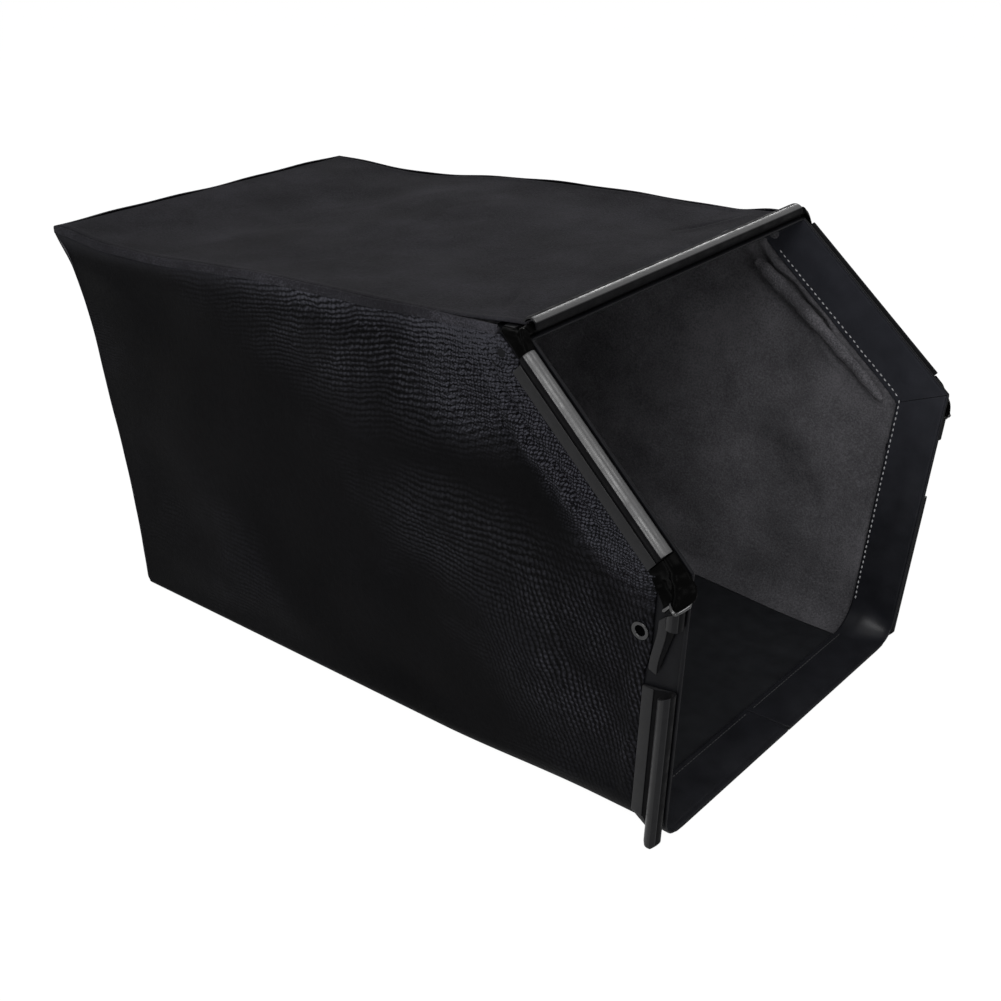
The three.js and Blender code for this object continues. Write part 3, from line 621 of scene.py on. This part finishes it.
def side_cloth(sign, name):
    """One side's cloth: the panel's place for each share and row, draped, and turned under at its foot."""
    rows, columns, foot_rows = 176, 232, 6.0
    along, row = np.meshgrid(np.linspace(0, 1, columns), np.linspace(0, 20, rows))
    x, z = side_place(sign, along, np.maximum(0.0, row - foot_rows))
    turn = np.maximum(0.0, 1.0 - row / foot_rows) * 1.5
    radius = foot_radius(x)
    drape = np.where(turn > 0, 0.0, side_drape(sign, x, z))
    middle = on_side(sign, x, z, FABRIC / 2 + drape)
    middle[..., 1] -= sign * radius * (1 - np.cos(turn))
    middle[..., 2] -= radius * np.sin(turn)
    middle[..., 0] += (1 - along) * (rear_x(middle[..., 2]) - rear_x(z))
    flat = stack(x, z - radius * turn) * METRE
    points, quads, cut, (front, back) = shell(middle, FABRIC, flat)
    outside = np.abs(points[front, 1]).mean() > np.abs(points[back, 1]).mean()
    piece = make_piece(f"side_cloth_{name}", points, quads, side_knit, [f"side_panel_{name}"], cut,
                       lining_felt, back if outside else front)
    return piece


def top_cloth():
    """The top: a sheet between the side seams that sinks in the middle, lifts at its sewn edges and is creased."""
    rows, columns = 210, 190
    start, end = REAR_TOP[0] + 2.6, MOUTH_TOP[0] - HOOK - 0.6
    across, along = grid(rows, columns)
    across = 2 * across - 1
    x = mix(start, end, along)
    trim = 10.0 * smooth(x, end - 62.4, end)
    half = half_width(x, top_plane(x)) + FABRIC / 2 - 2.6 - trim
    y = across * half
    sink = 7.0 * np.sin(math.pi * along) * (1 - across ** 2)
    inside = smooth(half - np.abs(y), 3.0, 30.0) * smooth(along, 0.0, 0.06) * (1 - smooth(along, 0.95, 1.0))
    broad = 2.0 * waves(x, y, 5, 240.0) + 0.7 * waves(x, y, 8, 80.0)
    lip = 0.9 * bell(half - np.abs(y), 3.5, 3.0)
    away, down = (x - 145.0) * 0.45 + (np.abs(y) - 135.0) * 0.9, (x - 145.0) * 0.9 - (np.abs(y) - 135.0) * 0.45
    crease = -2.4 * bell(down, 0.0, 4.0) * bell(away, 0.0, 26.0) + 1.2 * bell(down, 8.0, 5.0) * bell(away, 0.0, 30.0)
    z = welt_height_at(x, across) + 2.0 + 1.4 * smooth(along, 0.8, 0.9) - sink + inside * broad + lip + crease
    points, quads, cut, _ = shell(stack(x, y, z), FABRIC, stack(x, y) * METRE)
    piece = make_piece("top_cloth", points, quads, top_felt, ["top_panel"], cut)
    return piece


def rear_cloth():
    """The rear: a sheet between the side edges, hollowed towards the inside and rucked beside its seams."""
    rows, columns = 150, 150
    across, rise = grid(rows, columns)
    z = mix(FABRIC / 2, welt_height_at(REAR_TOP[0], 2 * across - 1) - 4.3, rise ** 1.3)
    drop = np.maximum(0.0, 1 - (z - FABRIC / 2) / 9.0)
    tuck = 9.0 * (1 - np.sqrt(np.maximum(0.0, 1 - drop ** 2)))
    half = half_width(rear_x(z), z) + FABRIC - tuck
    bulge = 6.0 * np.sin(math.pi * across) * np.sin(math.pi * rise)
    y = (2 * across - 1) * half
    edge = half - np.abs(y)
    inside = smooth(edge, 2.0, 40.0) * smooth(z, 10.0, 50.0) * (1 - smooth(rise, 0.9, 1.0))
    ruck = 0.6 * bell(edge, 9.0, 7.0) * np.sin(z / 7.5) * smooth(z, 12.0, 40.0)
    x = rear_x(z) + bulge + inside * (2.2 * waves(y, z, 17, 210.0) + 0.8 * waves(y, z, 23, 70.0)) + ruck
    points, quads, cut, (front, back) = shell(stack(x, y, z), FABRIC, stack(y, z) * METRE)
    inner = back if points[back, 0].mean() > points[front, 0].mean() else front
    piece = make_piece("rear_cloth", points, quads, side_knit, ["rear_panel"], cut, lining_felt, inner)
    return piece


def base_sheet():
    """The base: a flat coated sheet between the turned feet of the sides, slack enough to ripple a little."""
    rows, columns = 130, 90
    along, across = grid(rows, columns, -1.0)
    x = mix(rear_x(0.0) + 1.9, MOUTH_FOOT[0] - FABRIC_EDGE, along)
    radius = foot_radius(x)
    half = half_width(x, radius) + FABRIC / 2 - radius * (1 - math.cos(1.5)) - 0.6
    y = across * half
    inside = smooth(half - np.abs(y), 4.0, 40.0) * smooth(along, 0.02, 0.12) * (1 - smooth(along, 0.85, 0.97))
    z = FABRIC / 2 + inside * np.maximum(0.0, 1.2 * waves(x, y, 41, 170.0) + 0.9)
    points, quads, cut, _ = shell(stack(x, y, z), FABRIC, stack(x, y) * METRE)
    piece = make_piece("base_sheet", points, quads, base_vinyl, ["bottom_panel"], cut)
    return piece


def top_seam():
    """The welted seam: an upper lip, a sunken stitch line and a lower roll, puckered, carried along the top edge."""
    side_count, rear_count = 420, 200
    runs = []
    for sign, front in ((-1, MOUTH_TOP[0] - 30.8), (1, MOUTH_TOP[0] - 5.0)):
        x = mix(front, REAR_TOP[0], np.linspace(0, 1, side_count))
        y = half_width(x, top_plane(x)) + FABRIC / 2
        runs.append(stack(x, sign * y, welt_height_at(x, sign)))
    rear_share = np.linspace(-1, 1, rear_count)[1:-1]
    rear_path = stack(x[-1], rear_share * y[-1], welt_height_at(x[-1], rear_share))
    path = np.concatenate([runs[0], rear_path, runs[1][::-1]])
    distance = np.concatenate([[0], np.cumsum(np.linalg.norm(np.diff(path, axis=0), axis=-1))])
    outward = unit(np.cross(unit(np.gradient(path, axis=0)), [0, 0, 1.0]))
    smoothing = np.exp(-0.5 * (np.arange(-12, 13) / 5.0) ** 2)
    smoothing /= smoothing.sum()
    padded = np.pad(outward, ((12, 12), (0, 0)), mode="edge")
    outward = stack(*(np.convolve(column, smoothing, "valid") for column in padded.T))
    section = np.array([
        [-1.8, 3.2], [-0.6, 3.95], [0.5, 3.9], [0.95, 3.4], [0.6, 2.9], [0.1, 2.5], [0.4, 2.15], [1.4, 2.1],
        [2.3, 1.5], [2.9, 0.4], [3.05, -1.0], [2.8, -2.4], [2.1, -3.5], [1.2, -4.2], [0.0, -4.4], [-1.2, -3.6],
        [-2.0, -2.4], [-2.1, 0.0], [-2.1, 2.2],
    ])
    pucker = 1 + 0.10 * np.sin(distance / 2.6) * np.sin(distance / 17.0 + 1.0) + 0.07 * np.sin(distance / 9.0)
    lift = 0.5 * np.sin(distance / 31.0) + 0.35 * np.sin(distance / 13.7 + 2.0)
    out = np.where(section[:, 0] > 0, section[:, 0] * pucker[:, None], section[:, 0])
    points = path[:, None] + outward[:, None] * out[..., None]
    points[..., 2] += section[:, 1] + (lift * smooth(distance, 0, 20))[:, None]
    quads, caps = tube_faces(len(path), len(section))
    # The stitch line's faces take the near-black finish: painted shade in the groove
    groove = (np.arange(len(path))[:, None] * len(section) + np.arange(3, 8)).ravel()
    return make_piece("top_seam", points, quads, seam_cloth, ["top_welt"], lining=painted_shade,
                      inner=groove, caps=caps)


def slope_hem(sign, name):
    """The rolled hem inside: a flattened roll behind the band, crumpled along its length."""
    share = np.linspace(0, 1, 260)
    distance = mix(0.0, 166.0, share)
    place = SLOPE.place(distance, 49.5 + 11.0 * (1 - share) ** 2)
    path = on_side(sign, place[:, 0], place[:, 1], -8.4)
    count = 20
    turn = 2 * math.pi * (np.arange(count) + 0.5) / count
    back = on_side(sign, *SLOPE.place(98.0, 30.0), 0.0) - on_side(sign, *SLOPE.place(98.0, 0.0), 0.0)
    tangent = unit(np.gradient(path, axis=0))
    side = unit(back - (tangent @ back)[:, None] * tangent)
    crumple = np.abs(np.sin(distance / 11.0 + 0.6 * np.sin(distance / 23.0)))
    scale = 1.06 - 0.14 * crumple - 0.05 * np.sin(distance / 2.6)
    scale *= mix(1.05, 0.72, share) * (1 - 0.45 * smooth(share, 0.93, 1.0)) * mix(0.6, 1.0, smooth(share, 0.0, 0.08))
    upward = np.cross(tangent, side)
    ring = 7.0 * np.cos(turn)[:, None] * side[:, None] + 5.2 * np.sin(turn)[:, None] * upward[:, None]
    points = path[:, None] + ring * scale[:, None, None]
    quads, caps = tube_faces(len(path), count)
    around = np.arange(count) / count * 0.026
    cut = stack(distance[:, None] * METRE, around)
    return make_piece(f"hem_roll_{name}", points, quads, hem_cloth, [f"slope_hem_{name}"], cut,
                      caps=caps)


# Mouth band

def slope_band(sign, name):
    """One raked strip of the band: flat, with a rolled bead at the rim and dimples along its stitches."""
    rows, columns = 170, 60
    level, run = MOUTH_TOP - [0, 0.6], (MOUTH_TOP - REAR_TOP) / np.hypot(*(MOUTH_TOP - REAR_TOP))
    head = [meet(SLOPE.place(0, back), SLOPE.along, level, run) for back in (0.0, BAND_WIDTH)]
    foot = [SHOULDER - 0.3 * SLOPE.along, inner_corner(BAND_WIDTH) - 0.3 * SLOPE.along]
    u, v = grid(rows, columns)
    u = u[..., None] ** 1.3
    place = mix(mix(head[0], head[1], u), mix(foot[0], foot[1], u), v[..., None])
    s, back = SLOPE.inverse(place[..., 0], place[..., 1])
    bead = 1.6 * (1 - smooth(back, 1.3, 2.8))
    stitch = 0.12 * bell(back, 38.5, 1.6) * np.sin(2 * math.pi * s / 5.4)
    slack = -0.35 * bell(back, 18.0, 9.0) * (1 + np.sin(s / 23.0)) * smooth(s, 5, 30) * (1 - smooth(s, 160, 185))
    middle = on_side(sign, place[..., 0], place[..., 1], BAND_OFFSET + 0.5 * bead + stitch + slack)
    points, quads, _, faces = shell(middle, VINYL + bead, roundness=0.5)
    inner = min(faces, key=lambda face: np.abs(points[face, 1]).mean())
    return make_piece(f"slope_band_vinyl_{name}", points, quads, band_vinyl, [f"slope_band_{name}"],
                      lining=band_inner_lit, inner=inner)


def top_band():
    """The strip of the band under the top channel, with its free edge rolled."""
    rows, columns = 160, 40
    u, v = grid(rows, columns, -1.0)
    back = u ** 1.3 * BAND_WIDTH
    x = MOUTH_TOP[0] - back
    y = v * (half_width(x, top_plane(x)) - VINYL - 0.9)
    bead = 0.35 * (1 - smooth(back, 0.8, 2.2))
    z = top_plane(x) + BAND_OFFSET - 0.4 * bell(back, 20.0, 10.0) * (1 + np.sin(y / 29.0))
    points, quads, _, _ = shell(stack(x, y, z), VINYL + 0.5 * bead, roundness=0.9)
    return make_piece("top_band_vinyl", points, quads, band_vinyl, ["top_band"])


def lower_band(sign, name):
    """Half of the lower band: down the side, round the foot and along the base, with a thick hem at the front."""
    rows, columns = 260, 48
    corner = inner_corner(BAND_WIDTH)
    inner_back = float(mouth_x(corner[1]) - corner[0])
    inset = FABRIC / 2 - BAND_OFFSET
    side_share, turn_share = 0.5, 0.18
    u, v = grid(rows, columns)
    back = inner_back * (0.35 * u + 0.65 * u ** 2)
    radius = foot_radius(MOUTH_FOOT[0] - back) - inset
    centre_z = radius + inset + FABRIC / 2
    centre_y = half_width(mouth_x(centre_z) - back, centre_z) + BAND_OFFSET - radius
    head = mix(SHOULDER[1], corner[1], back / inner_back) - 0.3
    z_side = mix(head, centre_z, np.minimum(1, v / side_share))
    turn = np.clip((v - side_share) / turn_share, 0, 1) * math.pi / 2
    level = np.clip((v - side_share - turn_share) / (1 - side_share - turn_share), 0, 1)
    z_under = centre_z - radius * np.sin(turn)
    notch = mix(3.0, 0.3, smooth(back, 0.0, 6.0)) / 2
    y_under = mix(centre_y + radius * np.cos(turn), notch, level)
    on_the_side = v < side_share
    z = np.where(on_the_side, z_side, z_under)
    x = mouth_x(z) - back
    y = np.where(on_the_side, half_width(x, z) + BAND_OFFSET, y_under)
    bead = 1.6 * (1 - smooth(back, 1.3, 2.8)) * (1 - smooth(v, 0.45, 0.55))
    turned = side_share + turn_share
    hem = 1.6 * (1 - smooth(back, 3.0, 6.0)) * smooth(v, turned - 0.03, turned + 0.02)
    slack = -0.3 * bell(back, 18.0, 9.0) * (1 + np.sin(z / 19.0))
    slack *= on_the_side * smooth(z, 25, 50) * (1 - smooth(z, 200, 230))
    ripple = np.maximum(0.0, 0.5 * np.sin(y / 27.0 + 0.6) * np.sin(back / 11.0)) * smooth(level, 0.02, 0.2)
    middle = stack(x, sign * (y + slack + bead / 2), z + ripple - hem / 2)
    points, quads, _, faces = shell(middle, VINYL + hem + bead, roundness=0.6)
    inner = min(faces, key=lambda face: np.abs(points[face[:columns], 1]).mean())
    return make_piece(f"lower_band_vinyl_{name}", points, quads, band_vinyl, [f"lower_band_{name}"],
                      lining=band_inner_lit, inner=inner)


# Clip channels

def channel_section(rib_start=RIB_START, rib_end=RIB_END):
    """The channel's section as u back from the rim and v out: a flat rib, a groove and a hook open at the back."""
    radius, tip = HOOK / 2, TIP_ANGLE
    hub = (radius, radius)
    wall_middle = radius - WALL / 2
    cap = (hub[0] + wall_middle * math.cos(math.radians(tip)), hub[1] + wall_middle * math.sin(math.radians(tip)))
    return np.concatenate([
        arc((rib_end - 0.4, 0.4), 0.4, -90, 0, 4),
        arc((rib_end - 0.6, RIB_THICKNESS - 0.6), 0.6, 0, 90, 5),
        arc((rib_start + 0.6, RIB_THICKNESS - 0.6), 0.6, 90, 180, 5),
        arc((rib_start - 0.3, WALL + 0.3), 0.3, 0, -90, 3),
        arc(hub, radius - WALL, -90, tip - 360, 36),
        arc(cap, WALL / 2, tip + 180, tip + 360, 8)[1:-1],
        arc(hub, radius, tip - 360, -90, 44),
    ])


def channel(name, node, upper, lower, back_point, starts, ends, tilt, zones, section=None, lean=None):
    """A channel along a straight edge: each point of its section runs from its own start to its own end. Its groove
    and its hook up to the section's first zone are dull and painted darker as shade, and from there the hook is
    polished up to the second; past that the hook's far side is dull and painted dark again."""
    axis = unit(lower - upper)
    back = back_point - upper
    back = unit(back - axis * (back @ axis))
    out = np.cross(axis, back)
    out = -out if out @ tilt < 0 else out
    section = channel_section() if section is None else section
    lead = 0.5
    share = np.array([0.0, 0.002, 0.006, *np.linspace(0.02, 0.98, 40), 0.994, 0.998, 1.0])
    shrink = np.array([0.55, 0.85, 1.0, *np.ones(40), 1.0, 0.85, 0.55])
    start, end = starts(section[:, 0]), ends(section[:, 0])
    distance = start[None, :] + (end - start)[None, :] * share[:, None]
    inward = unit(np.roll(section, -1, axis=0) - np.roll(section, 1, axis=0)) @ np.array([[0, 1], [-1, 0]])
    ring = section[None] + inward[None] * (lead * (1 - shrink))[:, None, None]
    if lean is not None:
        ring[..., 0] += lean(section[None, :, 0], distance)
    points = upper + distance[..., None] * axis + ring[..., :1] * back + ring[..., 1:] * out
    rows, count = distance.shape
    quads, caps = tube_faces(rows, count)
    on_every_row = lambda span: (np.arange(rows)[:, None] * count + span).ravel()
    # The groove and the hook's far side take the darker finish: painted shade
    groove = on_every_row(np.concatenate([np.arange(14, zones[0]), np.arange(zones[1], count)]))
    return make_piece(name, points, quads, channel_plastic, [node], lining=groove_shade_plastic,
                      inner=groove, gloss=hook_plastic if zones[0] == HOOK_BACK else clip_plastic,
                      polished=on_every_row(np.arange(HOOK_BACK - 1, zones[1])), sharp=38, caps=caps)


def edge_ends(sign, edge):
    """An edge's upper and lower end on one side, and the place back from the upper one by the rib's reach."""
    upper, lower = on_side(sign, *edge.place(0, 0), 0.0), on_side(sign, *edge.place(edge.length, 0), 0.0)
    middle = on_side(sign, *edge.place(edge.length / 2, RIB_END), 0.0)
    return upper, lower, upper + middle - (upper + lower) / 2


def side_channels(sign, name):
    """The raked channel, the short clip with its leaning leg and the foot's channel of one side."""
    clip_section = channel_section(19.6, 27.0)
    clip_lean = lambda u, distance: -5.0 * smooth(u, 13.0, 19.5) * (1 - smooth(distance, 52.0, 92.0))
    for edge, kind, section, lean, starts, ends in (
        (SLOPE, "slope_channel", None, None, [(-1, 8.0), (32, 8.0)], [(-1, 177.0), (32, 177.0)]),
        (SIDE, "side_clip", clip_section, clip_lean, [(-1, 25.2), (15.0, 38.2), (24.5, 44.0), (27.5, 50.0)],
         [(-1, 45.0), (12.5, 45.0), (13.5, 50.0), (19.0, 93.0), (20.0, 95.0), (26.0, 94.0), (27.5, 90.0)]),
        (SIDE, "side_channel", None, None, [(-1, 101.0), (13.5, 109.0), (31.5, 110.0)],
         [(-1, 243.17), (4.0, 248.17), (9.5, 248.17), (13.5, 243.17), (14.5, 232.0), (27.5, 232.0), (31.5, 229.0)]),
    ):
        upper, lower, back_point = edge_ends(sign, edge)
        run = lambda pairs: (lambda u: np.interp(u, *zip(*pairs)))
        zones = (60, 80) if edge is SIDE else (HOOK_BACK, 102 if sign < 0 else 75)
        channel(f"{kind}_plastic_{name}", f"{kind}_{name}", upper, lower, back_point, run(starts), run(ends),
                np.array([0.0, sign, 0.0]), zones, section, lean)


def top_channel():
    """The channel along the top of the mouth."""
    reach = 180.0
    upper, lower = np.array([MOUTH_TOP[0], -reach, MOUTH_TOP[1]]), np.array([MOUTH_TOP[0], reach, MOUTH_TOP[1]])
    back = upper + [REAR_TOP[0] - MOUTH_TOP[0], 0, REAR_TOP[1] - MOUTH_TOP[1]]
    flat = lambda value: (lambda u: np.full(u.shape, value))
    ends = lambda u: np.interp(u, [0.0, 9.0, 20.0], [2 * reach + 8.0, 2 * reach + 5.0, 2 * reach])
    return channel("top_channel_plastic", "top_channel", upper, lower, back, flat(-4.0), ends, np.array([0, 0, 1.0]),
                   (HOOK_BACK, 82))


# Boots

def boot_lift(depth, bulge=6.0):
    """How far a boot's middle stands out at a depth from the rim: a bulge where the hooks would be."""
    return 1.2 + bulge * bell(depth, 6.5, 5.0)


def shoulder_boot(sign, name):
    """The boot round the shoulder: a soft black cap from the raked channel's end that flares over the clip."""
    rows, columns = 110, 84
    depth, around = grid(rows, columns)
    first = SLOPE.place(np.full(depth.shape, 177.6), mix(0.5, 31.5, depth))
    knots = np.array([0.0, 0.25, 0.5, 0.75, 1.0])
    last = SIDE.place(np.interp(depth, knots, [20.0, 26.5, 22.5, 29.5, 38.0]),
                      np.interp(depth, knots, [-3.5, 1.5, 7.5, 11.5, 18.0]))
    turn = meet(first, SLOPE.along, last, SIDE.along)
    control = mix(turn, (first + last) / 2, depth[..., None])
    t = around[..., None]
    place = (1 - t) ** 2 * first + 2 * t * (1 - t) * control + t ** 2 * last
    full = 1.0 if sign < 0 else 0.0
    place = place - (5.5 * full * bell(depth, 0.0, 0.3) * bell(around, 0.68, 0.27))[..., None] * SIDE.back
    back = mix(1.0, mix(31.5, 18.0, around), depth)
    lip = 2.2 * full * smooth(around, 0.9, 1.0)
    hood = mix(0.6, 4.6, full) * bell(back, 5.5, 6.0) * smooth(around, 0.4, 0.9)
    crumple = 0.9 * np.sin(9.0 * depth + 7.0 * around + 1.5 * np.sin(6.0 * around))
    crumple += 0.7 * waves(around * 40, depth * 28, 3, 11.0)
    edge = smooth(around, 0.03, 0.2) * (1 - smooth(around, 0.86, 1.0))
    lift = boot_lift(back, mix(5.6, mix(5.6, 9.0, full), around)) + hood + lip + crumple * edge
    middle = on_side(sign, place[..., 0], place[..., 1], lift)
    points, quads, _, (front, rear) = shell(middle, 1.8 + 1.7 * smooth(around, 0.94, 0.99), roundness=0.9)
    rolled = (around > 0.955).ravel()
    rim = 2 * rolled.size + np.flatnonzero(rolled[border_of(rows, columns)])
    return make_piece(f"shoulder_boot_vinyl_{name}", points, quads, boot_vinyl,
                      [f"shoulder_boot_{name}"], lining=lip_vinyl,
                      inner=np.concatenate([front[rolled], rear[rolled], rim]))


def corner_boot(sign, name):
    """The boot over the top corner: a curve from the top channel's end over the edge to the raked channel's."""
    rows, columns = 60, 60
    depth, around = grid(rows, columns)
    back = mix(1.5, 30.0, depth)
    rake = abs(SLOPE.along[1]) - abs(SLOPE.along[0]) * 35.0 / 564.0
    x = MOUTH_TOP[0] - back
    lift = boot_lift(back)
    half = half_width(x, top_plane(x))
    place = SLOPE.place(np.full(back.shape, 7.4), back * rake)
    end = on_side(sign, place[..., 0], place[..., 1], lift)
    knots = [
        stack(x, sign * (half - 9.5), top_plane(x) + lift),
        stack(x, sign * (half + lift + 1.8), top_plane(x) + lift + 0.3),
        stack(mix(x, end[..., 0], 0.3), sign * (half + lift + 0.9), top_plane(x) + lift + 1.5),
        end,
    ]
    t = around[..., None]
    share = ((1 - t) ** 3, 3 * (1 - t) ** 2 * t, 3 * (1 - t) * t ** 2, t ** 3)
    middle = sum(part * knot for part, knot in zip(share, knots))
    away = stack(0.0, sign * around, 1 - around)
    crumple = 0.5 * np.sin(around * 17.0 + depth * 5.0) * np.sin(math.pi * around)
    crumple += 0.35 * waves(around * 30, depth * 30, 9, 12.0)
    middle += away * (crumple * smooth(around, 0, 0.15) * (1 - smooth(around, 0.85, 1)))[..., None]
    points, quads, _, _ = shell(middle, 1.8, roundness=0.9)
    return make_piece(f"corner_boot_vinyl_{name}", points, quads, boot_vinyl, [f"corner_boot_{name}"])


# Eyelets and stitches

def eyelet(sign, name):
    """A flanged ring turned about its axis: a rolled outer lip, a neck and a washer inside."""
    x, z = SIDE.place(64.7, 37.0)
    centre = on_side(sign, x, z, 0.0)
    upper, lower, back_point = edge_ends(sign, SIDE)
    axis = unit(lower - upper)
    back = back_point - upper
    back = unit(back - axis * (back @ axis))
    out = np.cross(axis, back)
    out *= np.sign(out[1] * sign)
    profile = np.concatenate([
        arc((4.8, -1.0), 0.5, 180, 270, 5), arc((7.0, -1.0), 0.5, 270, 360, 5),
        [[7.5, -0.6], [5.05, -0.5], [5.0, 1.8], [7.2, 1.9]],
        arc((6.7, 2.3), 0.6, -30, 90, 7), [[5.9, 2.7]], arc((5.2, 1.9), 0.8, 80, 180, 7),
    ])
    turns = 64
    angle = 2 * math.pi * np.arange(turns) / turns
    ring = np.cos(angle)[:, None] * axis + np.sin(angle)[:, None] * back
    turned = lambda profile: centre + profile[:, :1] * ring[:, None] + profile[:, 1:] * out
    quads = lambda profile: faces_of(turns, len(profile), wrap_rows=True, wrap_columns=True)
    make_piece(f"eyelet_ring_{name}", turned(profile), quads(profile), eyelet_lacquer,
               [f"eyelet_{name}"], sharp=40)
    # A dark disc filling the bore: painted shade where the hole would look into the bag
    disc = np.array([[0.2, 1.5], [4.6, 1.7], [4.6, -0.4], [0.2, -0.4]])
    return make_piece(f"eyelet_shade_disc_{name}", turned(disc), quads(disc), painted_shade)


def stitch_row(name, centres, directions, normals, thread, length=3.0, width=1.35):
    """A row of stitches: each one a short thread that dives in at both ends, six points round at five stations."""
    stations = np.linspace(-1, 1, 5)
    turn = 2 * math.pi * np.arange(6) / 6
    side = np.cross(directions, normals)
    count = len(centres)
    body = np.sqrt(np.maximum(0.05, 1 - 0.85 * stations ** 4)) * width / 2
    rise = 0.35 * (1 - stations ** 2) * width
    around, up = body[:, None] * np.cos(turn), body[:, None] * np.sin(turn) * 0.7 + rise[:, None]
    points = (centres[:, None, None] + directions[:, None, None] * (stations * length / 2)[:, None, None]
              + side[:, None, None] * around[..., None] + normals[:, None, None] * up[..., None])
    single = faces_of(5, 6, wrap_columns=True)
    quads = (single[None] + 30 * np.arange(count)[:, None, None]).reshape(-1, 4)
    ends = np.array([[0, 1, 2, 3], [0, 3, 4, 5]])
    lids = np.concatenate([ends[:, ::-1], ends + 24])
    quads = np.concatenate([quads, (lids[None] + 30 * np.arange(count)[:, None, None]).reshape(-1, 4)])
    return make_piece(name, points, quads, thread)


def inner_stitches(sign, name):
    """Rows of stitches on the band's inner face: along the rake, down the side and along the base."""
    draw = np.random.default_rng(60 + int(sign))
    depth = BAND_OFFSET - VINYL / 2 - 0.05
    runs = []
    for edge, low, high, back in ((SLOPE, 8.0, 172.0, 38.5), (SIDE, 20.0, 224.0, 40.8)):
        distance = np.arange(low, high, 5.4)
        runs.append((edge, distance, back + draw.uniform(-0.25, 0.25, distance.shape)))
    parts = []
    for edge, distance, back in runs:
        at = lambda d: on_side(sign, *np.moveaxis(edge.place(d, back), -1, 0), depth)
        line = unit(at(distance + 1) - at(distance - 1))
        parts.append((at(distance), line, np.broadcast_to([0.0, -sign, 0.0], line.shape)))
    y = np.arange(8.0, 162.0, 4.2)
    along_base = stack(300.5, sign * y, 3.5)
    along, upward = (np.broadcast_to(way, along_base.shape) for way in ([0.0, 1.0, 0.0], [0.0, 0.0, 1.0]))
    stitch_row(f"base_stitches_{name}", along_base, along, upward, dull_thread, width=1.0)
    return stitch_row(f"band_stitches_{name}", *map(np.concatenate, zip(*parts)), pale_thread)


# The floor and the light

def studio():
    """A plain pale floor, a pale world and five soft lamps."""
    floor_mesh = bpy.data.meshes.new("floor")
    reach = 30.0
    corners = [(-reach, -reach, 0), (reach, -reach, 0), (reach, reach, 0), (-reach, reach, 0)]
    floor_mesh.from_pydata(corners, [], [(0, 1, 2, 3)])
    floor = bpy.data.objects.new("floor", floor_mesh)
    bpy.context.scene.collection.objects.link(floor)
    finish = Finish("floor", (0.86, 0.86, 0.86), 0.9, 0.05)
    ray = lambda tree, kind: tree.field("ShaderNodeLightPath", f"Is {kind} Ray")
    seen = finish.maths("MAXIMUM", ray(finish, "Camera"), ray(finish, "Glossy"))
    glow = finish.field("ShaderNodeEmission", "Emission", Strength=1.04)
    blend = finish.nodes.new("ShaderNodeMixShader")
    plain = Field(finish, finish.shader.outputs[0])
    for value, socket in zip((seen * 0.94, plain, glow), blend.inputs):
        finish.put(value, socket)
    finish.links.new(blend.outputs[0], finish.nodes["Material Output"].inputs["Surface"])
    floor_mesh.materials.append(finish.material)
    floor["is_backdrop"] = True
    world = bpy.data.worlds.new("studio")
    sky = Tree(world)
    background = sky.nodes["Background"]
    background.inputs["Color"].default_value = (1, 1, 1, 1)
    seen = sky.maths("MAXIMUM", ray(sky, "Glossy"), ray(sky, "Transmission"))
    seen = sky.maths("MAXIMUM", ray(sky, "Camera"), seen)
    level = sky.field("ShaderNodeMapRange", "Result", Value=seen, To_Min=0.42, To_Max=1.0)
    sky.put(level, background.inputs["Strength"])
    bpy.context.scene.world = world
    for name, spot, size, power in (
        ("key_softbox", (1.05, -1.97, 2.20), (1.4, 1.1), 38.0),
        ("top_softbox", (1.39, 0.51, 2.50), (1.2, 1.0), 14.0),
        ("side_softbox", (-0.10, -2.52, 0.72), (0.9, 0.5), 12.5),
        ("rear_softbox", (-0.63, 1.87, 1.43), (0.5, 0.35), 11.0),
        ("mouth_softbox", (2.40, -0.90, 0.75), (1.2, 1.2), 13.0),
    ):
        lamp = bpy.data.lights.new(name, "AREA")
        lamp.shape = "RECTANGLE"
        lamp.size, lamp.size_y = size
        lamp.energy = power
        holder = bpy.data.objects.new(name, lamp)
        holder.location = spot
        holder.rotation_euler = (Vector(spot) - Vector((0.0, 0.0, 0.2))).to_track_quat("Z", "Y").to_euler()
        bpy.context.scene.collection.objects.link(holder)
    bpy.context.scene.view_settings.view_transform = "Standard"


for sign, name in ((-1, "right"), (1, "left")):
    side_cloth(sign, name)
    slope_hem(sign, name)
    slope_band(sign, name)
    lower_band(sign, name)
    side_channels(sign, name)
    shoulder_boot(sign, name)
    corner_boot(sign, name)
    eyelet(sign, name)
    inner_stitches(sign, name)
top_cloth()
rear_cloth()
base_sheet()
top_seam()
top_band()
top_channel()
studio()

boxes = {"solids": solid_box, "dressed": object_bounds()}
{name: [list(corner) for corner in box] for name, box in boxes.items()}
